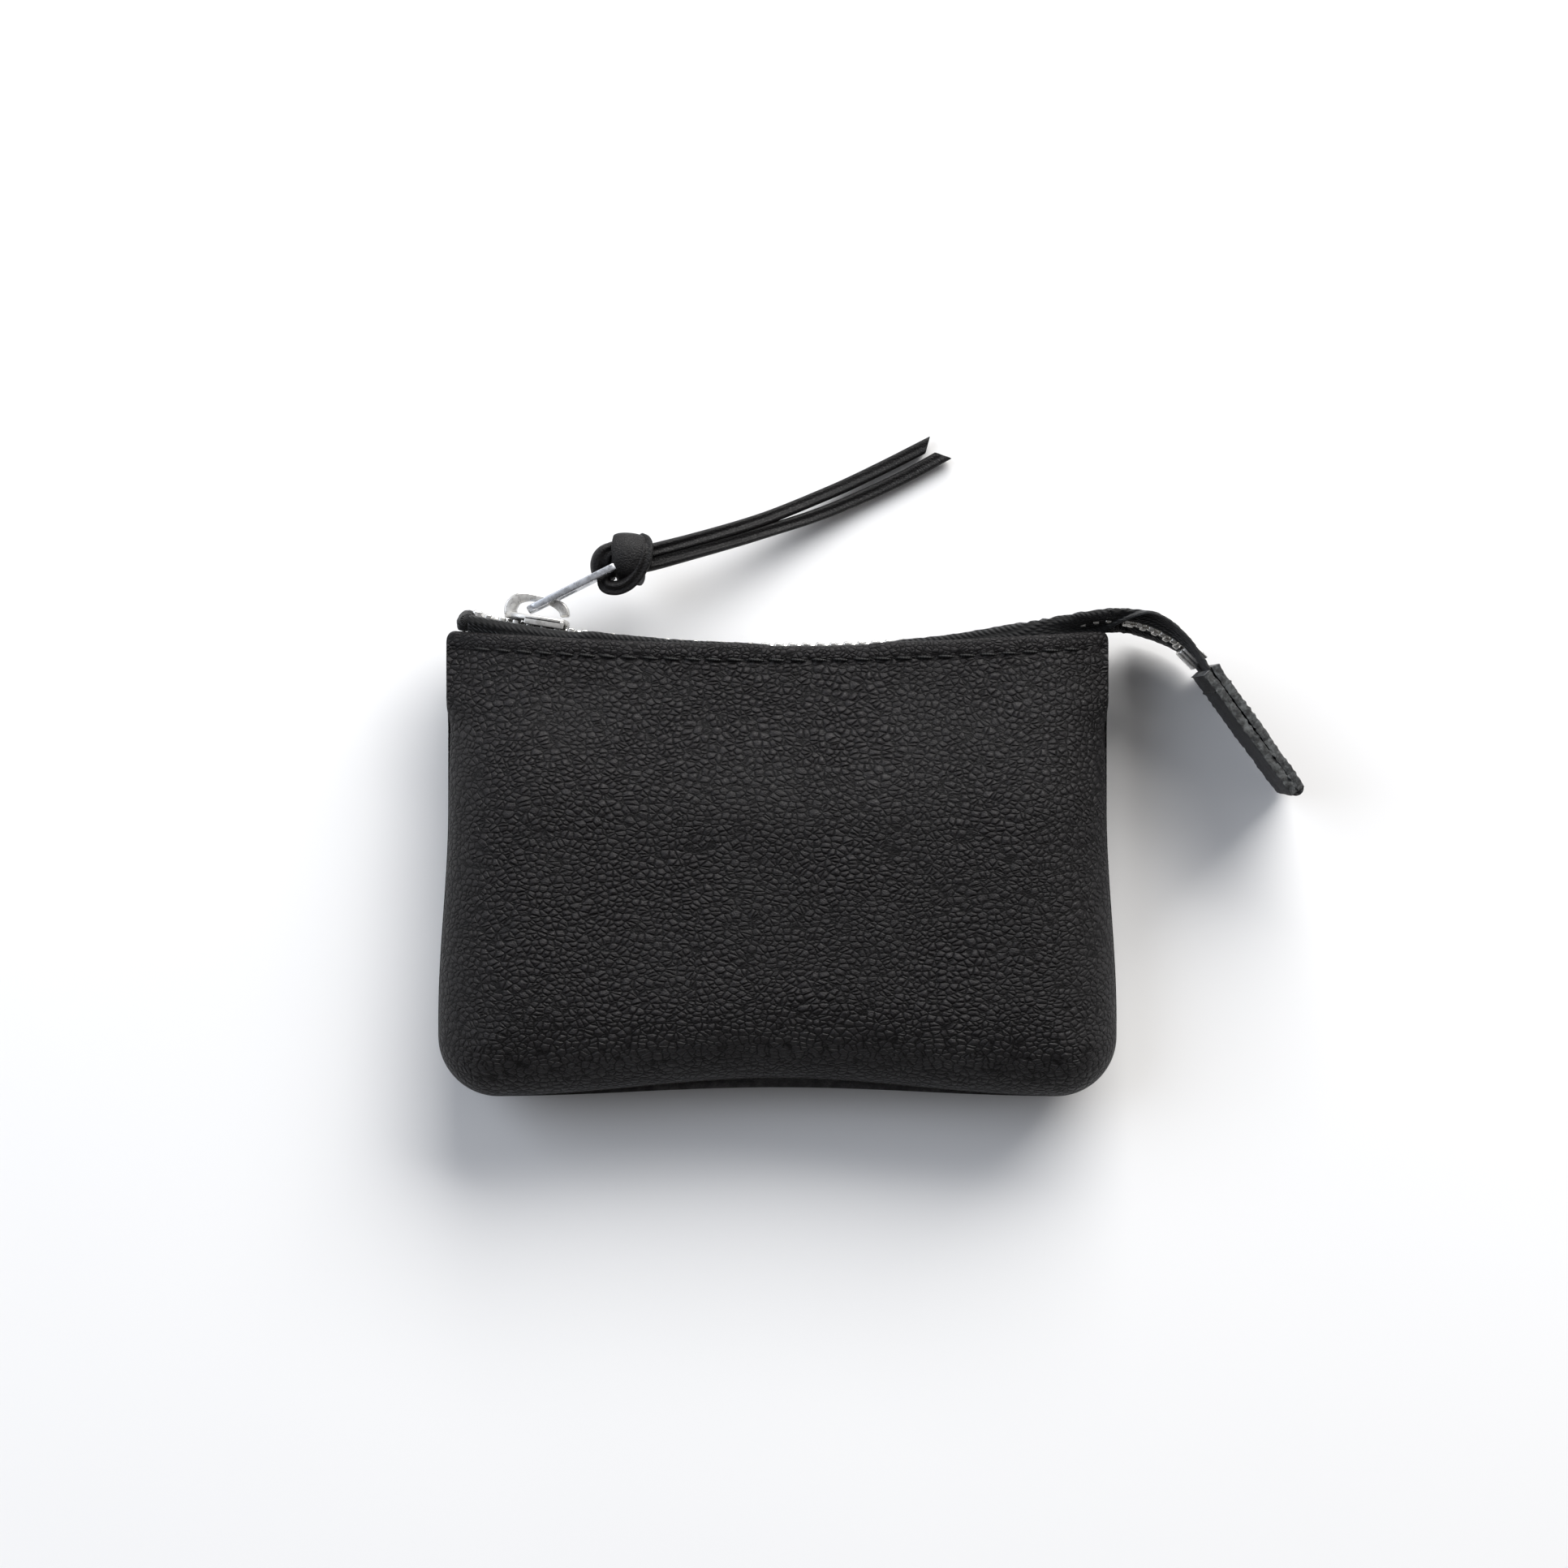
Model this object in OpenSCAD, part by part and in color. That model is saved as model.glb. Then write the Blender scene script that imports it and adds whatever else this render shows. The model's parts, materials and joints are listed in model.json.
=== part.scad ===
// Small zipped leather coin purse, lying on its back panel.
// X runs along the zip, Y from the bottom seam to the zip, Z up through the front panel.
// The origin is on the resting face, under the middle of the pouch.

/* [Pouch] */
// Width of the pouch at its mouth
pouch_w = 120; // [96:1:150]
// Height of the pouch from its bottom seam to its top corners
pouch_h = 84.8; // [70:0.1:104]
// Thickness of the filled pouch
pouch_t = 24; // [20:0.5:30]
// How much wider each side is near the bottom than at the mouth
side_flare = 1.8; // [0:0.1:3]
// Radius of the bottom corners
corner_r = 11; // [8:0.5:15]
// Distance over which the panels curve in to the seam
edge_roll = 17; // [12:0.5:22]
// Thickness of the leather
leather_t = 1.5; // [1.2:0.1:2]
// How far the front panel's bottom edge is drawn up at its middle
front_lift = 3.2; // [0:0.1:5]
// How far the back panel's bottom edge is drawn up at its middle
back_lift = 1.6; // [0:0.1:5]
// Gap between the two panels along their seam
seam_gap = 0.2; // [0.2:0.05:0.4]

/* [Mouth] */
// How far the middle of the mouth dips below its corners
mouth_dip = 2.6; // [0:0.1:4]
// Half of the gap between the lips
lip_gap = 5.6; // [5.4:0.1:8]
// Half of the gap between the lips at the corners
corner_gap = 1.75; // [1.6:0.05:2.2]
// Length over which the pouch thins towards the mouth
mouth_taper = 34; // [25:1:38]
// Distance of the lip's stitches from its edge
stitch_inset = 3; // [2:0.1:5]
// Distance from one stitch to the next
stitch_pitch = 3.8; // [3:0.1:5]
// Length of one stitch
stitch_l = 2.9; // [2:0.1:2.9]
// Diameter of the thread
thread_d = 0.55; // [0.3:0.05:0.8]

/* [Zip] */
// Radius of the bow that the closed zip follows
zip_r = 290; // [230:5:400]
// Place of the bow's lowest point along the mouth
zip_mid_x = 2; // [-5:0.5:5]
// Height of the teeth above the middle of the lips
chain_rise = 0.3; // [0:0.1:1.5]
// Distance from one tooth to the next on the same tape
tooth_pitch = 2.5; // [2.2:0.05:3]
// Width of the chain of teeth
chain_w = 5.2; // [4.8:0.1:6]
// Thickness of the teeth
tooth_t = 2; // [1.6:0.1:2.2]
// Width of the whole tape
tape_w = 20; // [18:0.5:24]
// Thickness of the tape
tape_t = 0.5; // [0.4:0.05:0.8]

/* [Slider] */
// Length of the slider
slider_l = 12; // [10:0.5:14]
// Width of the slider
slider_w = 8.4; // [7.6:0.1:8.6]
// Thickness of the slider's plates
plate_t = 1.1; // [0.8:0.1:1.4]
// Distance of the slider's middle from the left corner
slider_inset = 17; // [14:0.5:30]
// Play between the slider's plates and the teeth
slider_play = 0.2; // [0.1:0.05:0.4]
// Height of the crown above the plate
crown_h = 3.6; // [3.2:0.1:5]
// Width of the crown
crown_w = 3; // [2.4:0.1:3.2]
// Thickness of the crown
crown_t = 1.1; // [0.8:0.1:1.3]

/* [Pull] */
// Length of the pull from its hinge bar to its tip
pull_l = 18.7; // [15:0.1:28]
// Width of the pull
pull_w = 7; // [6.6:0.1:8]
// Thickness of the pull
pull_t = 1.3; // [1:0.1:1.4]
// Angle between the pull and the zip at rest
pull_angle = 35.5; // [30:0.5:60]
// Play round the crown and the lace
pull_play = 0.3; // [0.2:0.05:0.5]

/* [Lace] */
// Width of one folded lace
lace_d = 2.6; // [2:0.1:3]
// Length of the knot
knot_l = 7.4; // [6:0.2:10]
// Width of the knot
knot_w = 9.6; // [8:0.2:12]
// Height of the knot
knot_h = 8; // [7:0.2:9.5]

/* [Tail] */
// Radius of the bend in the zip's tail
tail_r = 21.5; // [18:0.5:30]
// Turn of the zip's tail, in degrees
tail_turn = 65; // [50:1:75]
// Length of the leather tab on the tail
tab_l = 28; // [22:0.5:36]
// Thickness of one layer of the tab
tab_layer = 1.3; // [1:0.1:1.6]
// Length of tape held between the tab's layers
tab_grip = 9; // [6:0.5:14]

/* [Hidden] */
$fn = 48;

mid_z = pouch_t / 2;
top_y = pouch_h / 2;
bottom_y = -pouch_h / 2;
mouth_half = pouch_w / 2;
base_half = mouth_half + side_flare;
close = 0.05;

// Panels
columns = 28;
rows = 17;
flare_top_y = 10;
flare_h = 38;
lift_half = 52;
corner_open_h = 12;
lip_squareness = 12;

// Zip
zip_low_y = top_y - mouth_dip + chain_rise;
zip_pivot = [zip_mid_x, zip_low_y + zip_r];
tape_n = -tooth_t / 2;
tip_gap = 0.3;
chain_start_x = -mouth_half + 7.6;
arc_end_x = mouth_half - 3.5;
tape_start_x = -mouth_half + 5;
tape_steps = 60;
flank_knee = 2.4;
flank_lean = 1.7;
shoulder_room = 1.6;
slider_x = -mouth_half + slider_inset;
slider_turn = asin((slider_x - zip_mid_x) / zip_r);
stop_l = 1.6;
tuck_r = 1.9;

// Tail
arc_turn = asin((arc_end_x - zip_mid_x) / zip_r);
hinge_run = 7.6;
hinge_gap = 0.4;
tail_start_x = arc_end_x + hinge_run + hinge_gap / 2;
tab_play = 0.1;
tab_stitch_inset = 5;
tail_bend_l = tail_r * tail_turn * PI / 180;
stop_run = tail_bend_l - 3.4;
bottom_stop_l = 3;
tail_teeth = 4;

// Pull, with its own X along its length from the hinge bar
bar_u = -2.2;
bar_n = slider_play + plate_t + 1.15;
bar_half = 0.65;
slot_l = 8.6;
eye_l = 3.3;
eye_w = 4.6;
eye_x = pull_l - 0.9;

// Lace, measured from the pull's end eye, with X along the strands' first direction
knot_turn = -7.5;
strand_route_upper = [
    [6.5, 1, 0.5], [14.4, 0.5, -1], [23.9, 0.2, -4], [33.4, 0.4, -7.4], [42.8, 1, -9.6],
    [52.3, 2.1, -10.4], [61.8, 3.4, -10.5]
];
strand_route_lower = [
    [6.5, -1.9, 0], [14.4, -2.3, -1.5], [24.9, -2.6, -5], [35.5, -2.5, -8.2], [46, -1.8, -10],
    [55.5, -0.8, -10.5], [63.9, 0.6, -10.6]
];
strand_sides = 8;
strand_step = 6;

// Curves of the pouch

function clamp01(t) = min(1, max(0, t));
function smooth(t) = let (c = clamp01(t)) c * c * (3 - 2 * c);
function rounded(t) = let (c = 1 - clamp01(t)) sqrt(1 - c * c);

function half_width(y) = mouth_half + side_flare * smooth((flare_top_y - y) / flare_h);
function lip_y(x) = top_y - mouth_dip * (1 - pow(x / mouth_half, 2));
function lift_at(x, lift) = lift * (1 + cos(180 * min(1, abs(x) / lift_half))) / 2;
function corner_run(x) = max(0, abs(x) - (base_half - corner_r));
function hem_y(x, lift) =
    bottom_y + lift_at(x, lift) + corner_r - sqrt(max(0, pow(corner_r, 2) - pow(corner_run(x), 2)));

// Distance in from the seam that runs round the sides and the bottom
function seam_distance(x, y, lift) =
    let (
        side = half_width(y) - abs(x),
        low = y - bottom_y - lift_at(x, lift),
        a = corner_r - side,
        b = corner_r - low
    )
    a > 0 && b > 0 ? corner_r - sqrt(a * a + b * b) : min(side, low);

// Half of the pouch's thickness, without the roll to the seam
function lip_half(x) =
    corner_gap + (lip_gap - corner_gap) * (1 - pow(min(1, abs(x) / (mouth_half - 1)), lip_squareness));
function body_half(x, y) =
    lip_half(x) + leather_t + (mid_z - lip_half(x) - leather_t) * smooth((lip_y(x) - y) / mouth_taper);
function corner_open(x, y) = smooth((y - lip_y(x) + corner_open_h + 6) / 6);
function edge_in(x, y) = seam_gap / 2 + (corner_gap - seam_gap / 2) * corner_open(x, y);
function outer_half(x, y, lift) =
    let (edge = edge_in(x, y) + leather_t)
    edge + max(0, body_half(x, y) - edge) * rounded(seam_distance(x, y, lift) / edge_roll);
function inner_half(x, y, lift) =
    edge_in(x, y)
    + max(0, body_half(x, y) - leather_t - edge_in(x, y))
    * rounded((seam_distance(x, y, lift) - leather_t) / (edge_roll - leather_t));

// Curves of the zip

function zip_y(x) = zip_pivot[1] - sqrt(pow(zip_r, 2) - pow(x - zip_mid_x, 2));
function zip_heading(x) = asin((x - zip_mid_x) / zip_r);

// A place on the tail: run is the length from the end of the bow, as [x, y, heading]
tail_start = [arc_end_x, zip_y(arc_end_x)];
function tail_place(run) =
    let (
        bent = min(run, tail_bend_l),
        turn = arc_turn - bent / tail_r * 180 / PI,
        past = run - bent
    )
    [
        tail_start[0] + tail_r * (sin(arc_turn) - sin(turn)) + past * cos(turn),
        tail_start[1] + tail_r * (cos(turn) - cos(arc_turn)) + past * sin(turn),
        turn
    ];
function zip_place(x) =
    x <= arc_end_x ? [x, zip_y(x), zip_heading(x)] : tail_place(x - arc_end_x);

// Half of the tape's flat width over the chain, and what is left to hang down as a flank
function tape_half(x) =
    x <= mouth_half - 1
    ? inner_half(x + flank_lean * sign(x), lip_y(x) - close, 0) - 3 * close
    : corner_gap - 3 * close + (tape_w / 2 - corner_gap) * smooth((x - mouth_half - 2) / 2);

// Moves children to a place on the zip, with X along the zip and Y out of the pouch

module at_zip(place) {
    translate([place[0], place[1], mid_z])
    rotate([0, 0, place[2]])
    children();
}

// Shell of one panel, for the front, with its seam plane at height zero

function spread(t) = 0.8 * sin(90 * t) + 0.2 * t;
function grid_point(i, j, lift) =
    let (
        u = spread(2 * i / columns - 1),
        x_low = u * base_half,
        v = j / rows,
        run = 0.65 * v + 0.35 * (1 - cos(180 * v)) / 2,
        y = hem_y(x_low, lift) + (lip_y(u * mouth_half) - hem_y(x_low, lift)) * run
    )
    [u * half_width(y), y];

module shell(lift) {
    grid = [for (j = [0:rows]) for (i = [0:columns]) grid_point(i, j, lift)];
    outer = [for (p = grid) [p[0], p[1], outer_half(p[0], p[1], lift)]];
    inner = [for (p = grid) [p[0], p[1], inner_half(p[0], p[1], lift)]];
    wide = columns + 1;
    total = wide * (rows + 1);
    top_faces = [
        for (j = [0:rows - 1]) for (i = [0:columns - 1])
        let (a = j * wide + i)
        each [[a, a + wide, a + wide + 1], [a, a + wide + 1, a + 1]]
    ];
    under_faces = [for (f = top_faces) [for (k = [2, 1, 0]) f[k] + total]];
    rim = concat(
        [for (i = [0:columns]) i],
        [for (j = [1:rows]) j * wide + columns],
        [for (i = [1:columns]) rows * wide + columns - i],
        [for (j = [1:rows - 1]) (rows - j) * wide]
    );
    rim_faces = [
        for (k = [0:len(rim) - 1])
        let (a = rim[k], b = rim[(k + 1) % len(rim)])
        each [[a, b, b + total], [a, b + total, a + total]]
    ];
    polyhedron(concat(outer, inner), concat(top_faces, under_faces, rim_faces), convexity = 6);
}

// Sweep of a closed section through a list of rings, each a list of points

module sweep(rings, caps) {
    sides = len(rings[0]);
    count = len(rings);
    walls = [
        for (r = [0:count - 2]) for (k = [0:sides - 1])
        let (a = r * sides + k, b = r * sides + (k + 1) % sides)
        each [[a, b + sides, b], [a, a + sides, b + sides]]
    ];
    start_caps = caps;
    end_caps = [for (cap = caps) [for (k = [len(cap) - 1:-1:0]) (count - 1) * sides + cap[k]]];
    polyhedron([for (r = rings) each r], concat(walls, start_caps, end_caps), convexity = 6);
}

// One half of the tape, as a section that runs out flat and then down inside the lip

function tape_ring(x, turn_down) =
    let (
        place = zip_place(x),
        half = turn_down ? tape_half(x) : tape_w / 2,
        flank = max(2.6 * tape_t, tape_w / 2 - half),
        knee = min(flank_knee, flank / 2),
        in_z = chain_w / 2 + close,
        shoulder = max(half, chain_w / 2 + shoulder_room),
        out_n = tape_n + tape_t / 2,
        flat_section = [[out_n, in_z], [out_n, half], [out_n - tape_t, half], [out_n - tape_t, in_z]],
        bent_section = [
            [out_n, in_z], [out_n, shoulder], [out_n - knee, half], [out_n - flank, half],
            [out_n - flank, half - tape_t], [out_n - knee, half - tape_t],
            [out_n - tape_t, shoulder - tape_t], [out_n - tape_t, in_z]
        ],
        section = turn_down ? bent_section : flat_section
    )
    [
        for (s = section)
        [place[0] - s[0] * sin(place[2]), place[1] + s[0] * cos(place[2]), s[1]]
    ];

module half_tape(start_x, end_x, steps, turn_down) {
    caps = turn_down ? [[0, 1, 6, 7], [1, 2, 5, 6], [2, 3, 4, 5]] : [[0, 1, 2, 3]];
    rings = [for (k = [0:steps]) tape_ring(start_x + (end_x - start_x) * k / steps, turn_down)];
    translate([0, 0, mid_z]) sweep(rings, caps);
}
module mouth_half_tape() {
    half_tape(tape_start_x, arc_end_x + hinge_run - hinge_gap / 2, tape_steps, true);
}

// Teeth of one side, between two lengths along the zip, each with a base and a narrower head

module tooth() {
    translate([-0.6, -tooth_t, chain_w / 4]) cube([1.2, tooth_t, chain_w / 4]);
    translate([-0.45, 0.3 - tooth_t, tip_gap]) cube([0.9, tooth_t - 0.6, chain_w / 4 - tip_gap]);
}

module teeth_row(first_x, count) {
    for (k = [0:count - 1]) at_zip(zip_place(first_x + k * tooth_pitch)) tooth();
}

module mouth_teeth(offset) {
    end_x = arc_end_x + hinge_run - 2.2;
    count = floor((end_x - chain_start_x - offset) / tooth_pitch) + 1;
    teeth_row(chain_start_x + offset, count);
}

module tail_teeth_row(offset) {
    teeth_row(arc_end_x + hinge_run + 2.2 + offset, tail_teeth);
}

module top_stop() {
    at_zip(zip_place(chain_start_x - 2)) {
        translate([-stop_l / 2, -tooth_t - 0.1, tip_gap])
        cube([stop_l, tooth_t + 0.2, chain_w / 2 - tip_gap]);
    }
}

// End of one tape, folded over beside the corner of the mouth
module tape_tuck() {
    at_zip(zip_place(tape_start_x - tuck_r - 6 * close)) {
        translate([0, -tuck_r, tip_gap / 2])
        cylinder(r = tuck_r, h = chain_w / 2);
    }
}

// Stitches of one lip, lying on the panel

module lip_stitches(lift) {
    count = floor((pouch_w - 12) / stitch_pitch);
    first_x = -(count - 1) / 2 * stitch_pitch;
    for (k = [0:count - 1]) {
        a = stitch_end(first_x + k * stitch_pitch - stitch_l / 2, lift);
        b = stitch_end(first_x + k * stitch_pitch + stitch_l / 2, lift);
        d = b - a;
        translate([a[0], a[1], mid_z + a[2]])
        rotate([0, 90 - asin(d[2] / norm(d)), atan2(d[1], d[0])])
        cylinder(d = thread_d, h = norm(d), $fn = 16);
    }
}
function stitch_end(x, lift) =
    let (y = lip_y(x) - stitch_inset)
    [x, y, outer_half(x, y, lift) + thread_d / 2 + 2 * close];

// Puts a front piece on the back

module flipped() {
    translate([0, 0, mid_z]) mirror([0, 0, 1]) translate([0, 0, -mid_z]) children();
}

// Pouch

module back_panel() {
    color([0.15, 0.14, 0.14]) flipped() translate([0, 0, mid_z]) shell(back_lift);
}
module front_panel() {
    color([0.17, 0.16, 0.16]) translate([0, 0, mid_z]) shell(front_lift);
}
module back_lip_stitch() {
    color([0.06, 0.06, 0.06]) flipped() lip_stitches(back_lift);
}
module front_lip_stitch() {
    color([0.06, 0.06, 0.06]) lip_stitches(front_lift);
}

// Zip

module back_tape() {
    color([0.08, 0.08, 0.09]) flipped() {
        mouth_half_tape();
        tape_tuck();
    }
}
module front_tape() {
    color([0.09, 0.09, 0.1]) {
        mouth_half_tape();
        tape_tuck();
    }
}
module back_teeth() {
    color([0.75, 0.76, 0.78]) flipped() mouth_teeth(tooth_pitch / 2);
}
module front_teeth() {
    color([0.8, 0.81, 0.83]) mouth_teeth(0);
}
module back_top_stop() {
    color([0.85, 0.86, 0.88]) flipped() top_stop();
}
module front_top_stop() {
    color([0.85, 0.86, 0.88]) top_stop();
}

// Slider, drawn with the teeth's outer face at height zero, and put on the bow by its turn

module plate_outline() {
    nose = slider_l * 0.58;
    heel = slider_l - nose;
    hull() {
        for (side = [-1, 1]) {
            translate([heel - 1, side * (slider_w / 2 - 1)]) circle(1);
            translate([-nose * 0.45, side * (slider_w / 2 - 1)]) circle(1);
            translate([-nose + 1.6, side * (slider_w / 2 - 2.6)]) circle(1.6);
        }
    }
}

module slider_plate(low_n) {
    translate([0, low_n + plate_t, 0])
    rotate([90, 0, 0])
    linear_extrude(plate_t)
    plate_outline();
}

module crown_outline() {
    root_u = -slider_l * 0.58 + 0.6;
    top_n = slider_play + plate_t + crown_h;
    low_n = slider_play + plate_t;
    tip_u = slider_l * 0.42 - 0.6;
    difference() {
        hull() {
            translate([root_u + 1.6, top_n - 1.6]) circle(1.6);
            translate([tip_u - 1.3, top_n - 2.1]) circle(1.2);
            translate([root_u, low_n - 0.4]) square([1.2, 1]);
            translate([tip_u - 1.2, low_n + 0.5]) square([1.2, 0.6]);
        }
        hull() {
            translate([root_u + crown_t + 0.8, top_n - crown_t - 0.8]) circle(0.8);
            translate([tip_u - crown_t - 0.9, top_n - crown_t - 1.2]) circle(0.6);
            translate([root_u + crown_t, low_n - 0.5]) square([1, 1]);
            translate([tip_u - crown_t - 1, low_n - 0.5]) square([1, 1]);
        }
    }
}

module slider_body() {
    color([0.82, 0.83, 0.85])
    at_zip([slider_x, zip_y(slider_x), slider_turn]) {
        slider_plate(slider_play);
        slider_plate(-tooth_t - slider_play - plate_t);
        translate([-slider_l * 0.58 + 0.8, -tooth_t - slider_play - plate_t / 2, -0.2])
        cube([2.4, tooth_t + 2 * slider_play + plate_t, 0.4]);
        translate([0, 0, -crown_w / 2]) linear_extrude(crown_w) crown_outline();
    }
}

// Pull, and the lace that is looped through its end

module at_pull() {
    at_zip([slider_x, zip_y(slider_x), slider_turn])
    translate([bar_u, bar_n, 0])
    rotate([0, 0, pull_angle])
    children();
}

module pull_outline() {
    difference() {
        hull() {
            translate([pull_l - 1.5, 0]) square([2, pull_w - 2], center = true);
            translate([pull_l - 1.5, 0]) square([3, pull_w - 3], center = true);
            translate([bar_half, 0]) square([bar_half * 2, pull_w - 1], center = true);
            translate([slot_l, 0]) square([1, pull_w], center = true);
        }
        translate([2 * bar_half, -crown_w / 2 - pull_play]) square([slot_l, crown_w + 2 * pull_play]);
        translate([eye_x - eye_l - 0.8, -eye_w / 2]) square([eye_l, eye_w]);
    }
}

module pull_tab() {
    color([0.6, 0.62, 0.66])
    at_pull()
    translate([-bar_half, pull_t / 2, 0])
    rotate([90, 0, 0])
    linear_extrude(pull_t)
    pull_outline();
}

module at_eye() {
    at_pull() translate([eye_x - bar_half, 0, 0]) rotate([0, 0, knot_turn]) children();
}

module lace_knot() {
    color([0.1, 0.1, 0.1]) at_eye() {
        rotate_extrude() translate([1.4, -1.9]) square([1.4, 3.8]);
        difference() {
            hull() {
                for (side = [-1, 1]) {
                    translate([knot_l - 4.2, side * (knot_w / 2 - 3), 0])
                    scale([1, 1, knot_h / 6])
                    sphere(3, $fn = 32);
                }
            }
            translate([-8 + 1.4, -10, -10]) cube([8, 20, 20]);
        }
    }
}

// Rings of a lace along its route

function route_at(route, t) =
    let (
        count = len(route) - 1,
        i = min(count - 1, floor(t)),
        f = t - i,
        p0 = route[max(0, i - 1)],
        p1 = route[i],
        p2 = route[i + 1],
        p3 = route[min(count, i + 2)]
    )
    0.5 * (2 * p1 + (p2 - p0) * f + (2 * p0 - 5 * p1 + 4 * p2 - p3) * f * f
    + (3 * p1 - p0 - 3 * p2 + p3) * f * f * f);
function strand_ring(route, t) =
    let (
        h = 0.05,
        along = route_at(route, min(len(route) - 1, t + h)) - route_at(route, max(0, t - h)),
        ahead = along / norm(along),
        across = cross([0, 0, 1], ahead) / norm(cross([0, 0, 1], ahead)),
        up = cross(ahead, across)
    )
    [
        for (k = [0:strand_sides - 1])
        let (turn = 360 * (k + 0.5) / strand_sides)
        route_at(route, t) + lace_d / 2 * (across * cos(turn) + up * sin(turn))
    ];

module strand(route) {
    steps = round((len(route) - 1) * 9 / strand_step);
    cap = [for (k = [0:strand_sides - 1]) k];
    rings = [for (k = [0:steps]) strand_ring(route, (len(route) - 1) * k / steps)];
    at_eye() sweep(rings, [cap]);
}

module lace_strand_upper() {
    color([0.12, 0.12, 0.12]) strand(strand_route_upper);
}
module lace_strand_lower() {
    color([0.13, 0.13, 0.13]) strand(strand_route_lower);
}

// Tail of the zip, with a folded leather tab on its end

module tail_half_tape() {
    half_tape(tail_start_x, arc_end_x + tail_bend_l + tab_grip, 16, false);
}

module tail_back_tape() {
    color([0.08, 0.08, 0.09]) flipped() tail_half_tape();
}
module tail_front_tape() {
    color([0.09, 0.09, 0.1]) tail_half_tape();
}
module tail_back_teeth() {
    color([0.75, 0.76, 0.78]) flipped() tail_teeth_row(tooth_pitch / 2);
}
module tail_front_teeth() {
    color([0.8, 0.81, 0.83]) tail_teeth_row(0);
}

module bottom_stop() {
    color([0.85, 0.86, 0.88])
    at_zip(tail_place(stop_run))
    translate([-bottom_stop_l / 2, -tooth_t - 0.2, -chain_w / 2])
    cube([bottom_stop_l, tooth_t + 0.4, chain_w]);
}

// The tab is one strip of leather folded round the tape's end
module tab_outline() {
    slit = tape_t + 2 * tab_play;
    outer_r = tab_layer + slit / 2;
    difference() {
        union() {
            translate([0, -outer_r]) square([tab_l - outer_r, 2 * outer_r]);
            translate([tab_l - outer_r, 0]) circle(outer_r);
        }
        translate([-1, -slit / 2]) square([tab_l - outer_r + 1, slit]);
        translate([tab_l - outer_r, 0]) circle(slit / 2);
    }
}

module tail_tab() {
    color([0.16, 0.15, 0.15])
    at_zip(tail_place(tail_bend_l))
    translate([0, tape_n, -tape_w / 2])
    linear_extrude(tape_w)
    tab_outline();
}

module tail_tab_stitch() {
    face_n = tab_layer + tape_t / 2 + tab_play + thread_d / 2 + close;
    count = floor((tape_w - 3) / stitch_pitch);
    color([0.06, 0.06, 0.06])
    at_zip(tail_place(tail_bend_l + tab_stitch_inset))
    for (side = [-1, 1]) {
        for (k = [0:count - 1]) {
            translate([0, tape_n + side * face_n, (k - (count - 1) / 2) * stitch_pitch])
            cylinder(d = thread_d, h = stitch_l, center = true, $fn = 16);
        }
    }
}

back_panel();
front_panel();
back_lip_stitch();
front_lip_stitch();
back_tape();
front_tape();
back_teeth();
front_teeth();
back_top_stop();
front_top_stop();
slider_body();
pull_tab();
lace_knot();
lace_strand_upper();
lace_strand_lower();
tail_back_tape();
tail_front_tape();
tail_back_teeth();
tail_front_teeth();
bottom_stop();
tail_tab();
tail_tab_stitch();
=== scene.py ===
"""Coin purse: pebbled leather, a metal zip, a knotted lace and a zip tail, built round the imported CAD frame.

Shapes are worked out in millimetres, in the frame's own axes, and turned into metres as each mesh is made.
"""

import json
import math

import bmesh
import bpy
import numpy as np
from mathutils import Matrix, Vector, noise


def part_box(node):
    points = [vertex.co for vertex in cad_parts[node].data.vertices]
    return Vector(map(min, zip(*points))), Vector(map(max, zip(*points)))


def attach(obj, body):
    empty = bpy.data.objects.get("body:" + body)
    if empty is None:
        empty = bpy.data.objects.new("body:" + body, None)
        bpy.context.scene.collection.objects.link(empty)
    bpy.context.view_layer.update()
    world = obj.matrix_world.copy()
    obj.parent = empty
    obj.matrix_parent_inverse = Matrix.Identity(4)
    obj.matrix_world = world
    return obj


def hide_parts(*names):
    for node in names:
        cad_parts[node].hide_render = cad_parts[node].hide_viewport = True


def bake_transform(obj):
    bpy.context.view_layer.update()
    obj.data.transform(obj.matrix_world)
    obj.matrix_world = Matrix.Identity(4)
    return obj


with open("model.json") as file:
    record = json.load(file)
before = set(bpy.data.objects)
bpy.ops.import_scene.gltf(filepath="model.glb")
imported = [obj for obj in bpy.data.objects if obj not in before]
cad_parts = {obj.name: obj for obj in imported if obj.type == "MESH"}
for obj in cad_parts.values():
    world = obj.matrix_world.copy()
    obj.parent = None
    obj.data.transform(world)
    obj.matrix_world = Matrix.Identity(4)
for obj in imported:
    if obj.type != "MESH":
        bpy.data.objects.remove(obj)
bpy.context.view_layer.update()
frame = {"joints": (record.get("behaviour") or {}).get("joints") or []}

MM = 0.001


def box_mm(node):
    """Lowest and highest corner of a CAD node, in millimetres."""
    low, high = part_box(node)
    return np.array(low) / MM, np.array(high) / MM


def joint_mm(name):
    """A joint's place, in millimetres."""
    found = next(j for j in frame["joints"] if j["name"] == name)
    return np.array(found["pos_m"]) / MM


# ---------------------------------------------------------------- sizes from the frame

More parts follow.
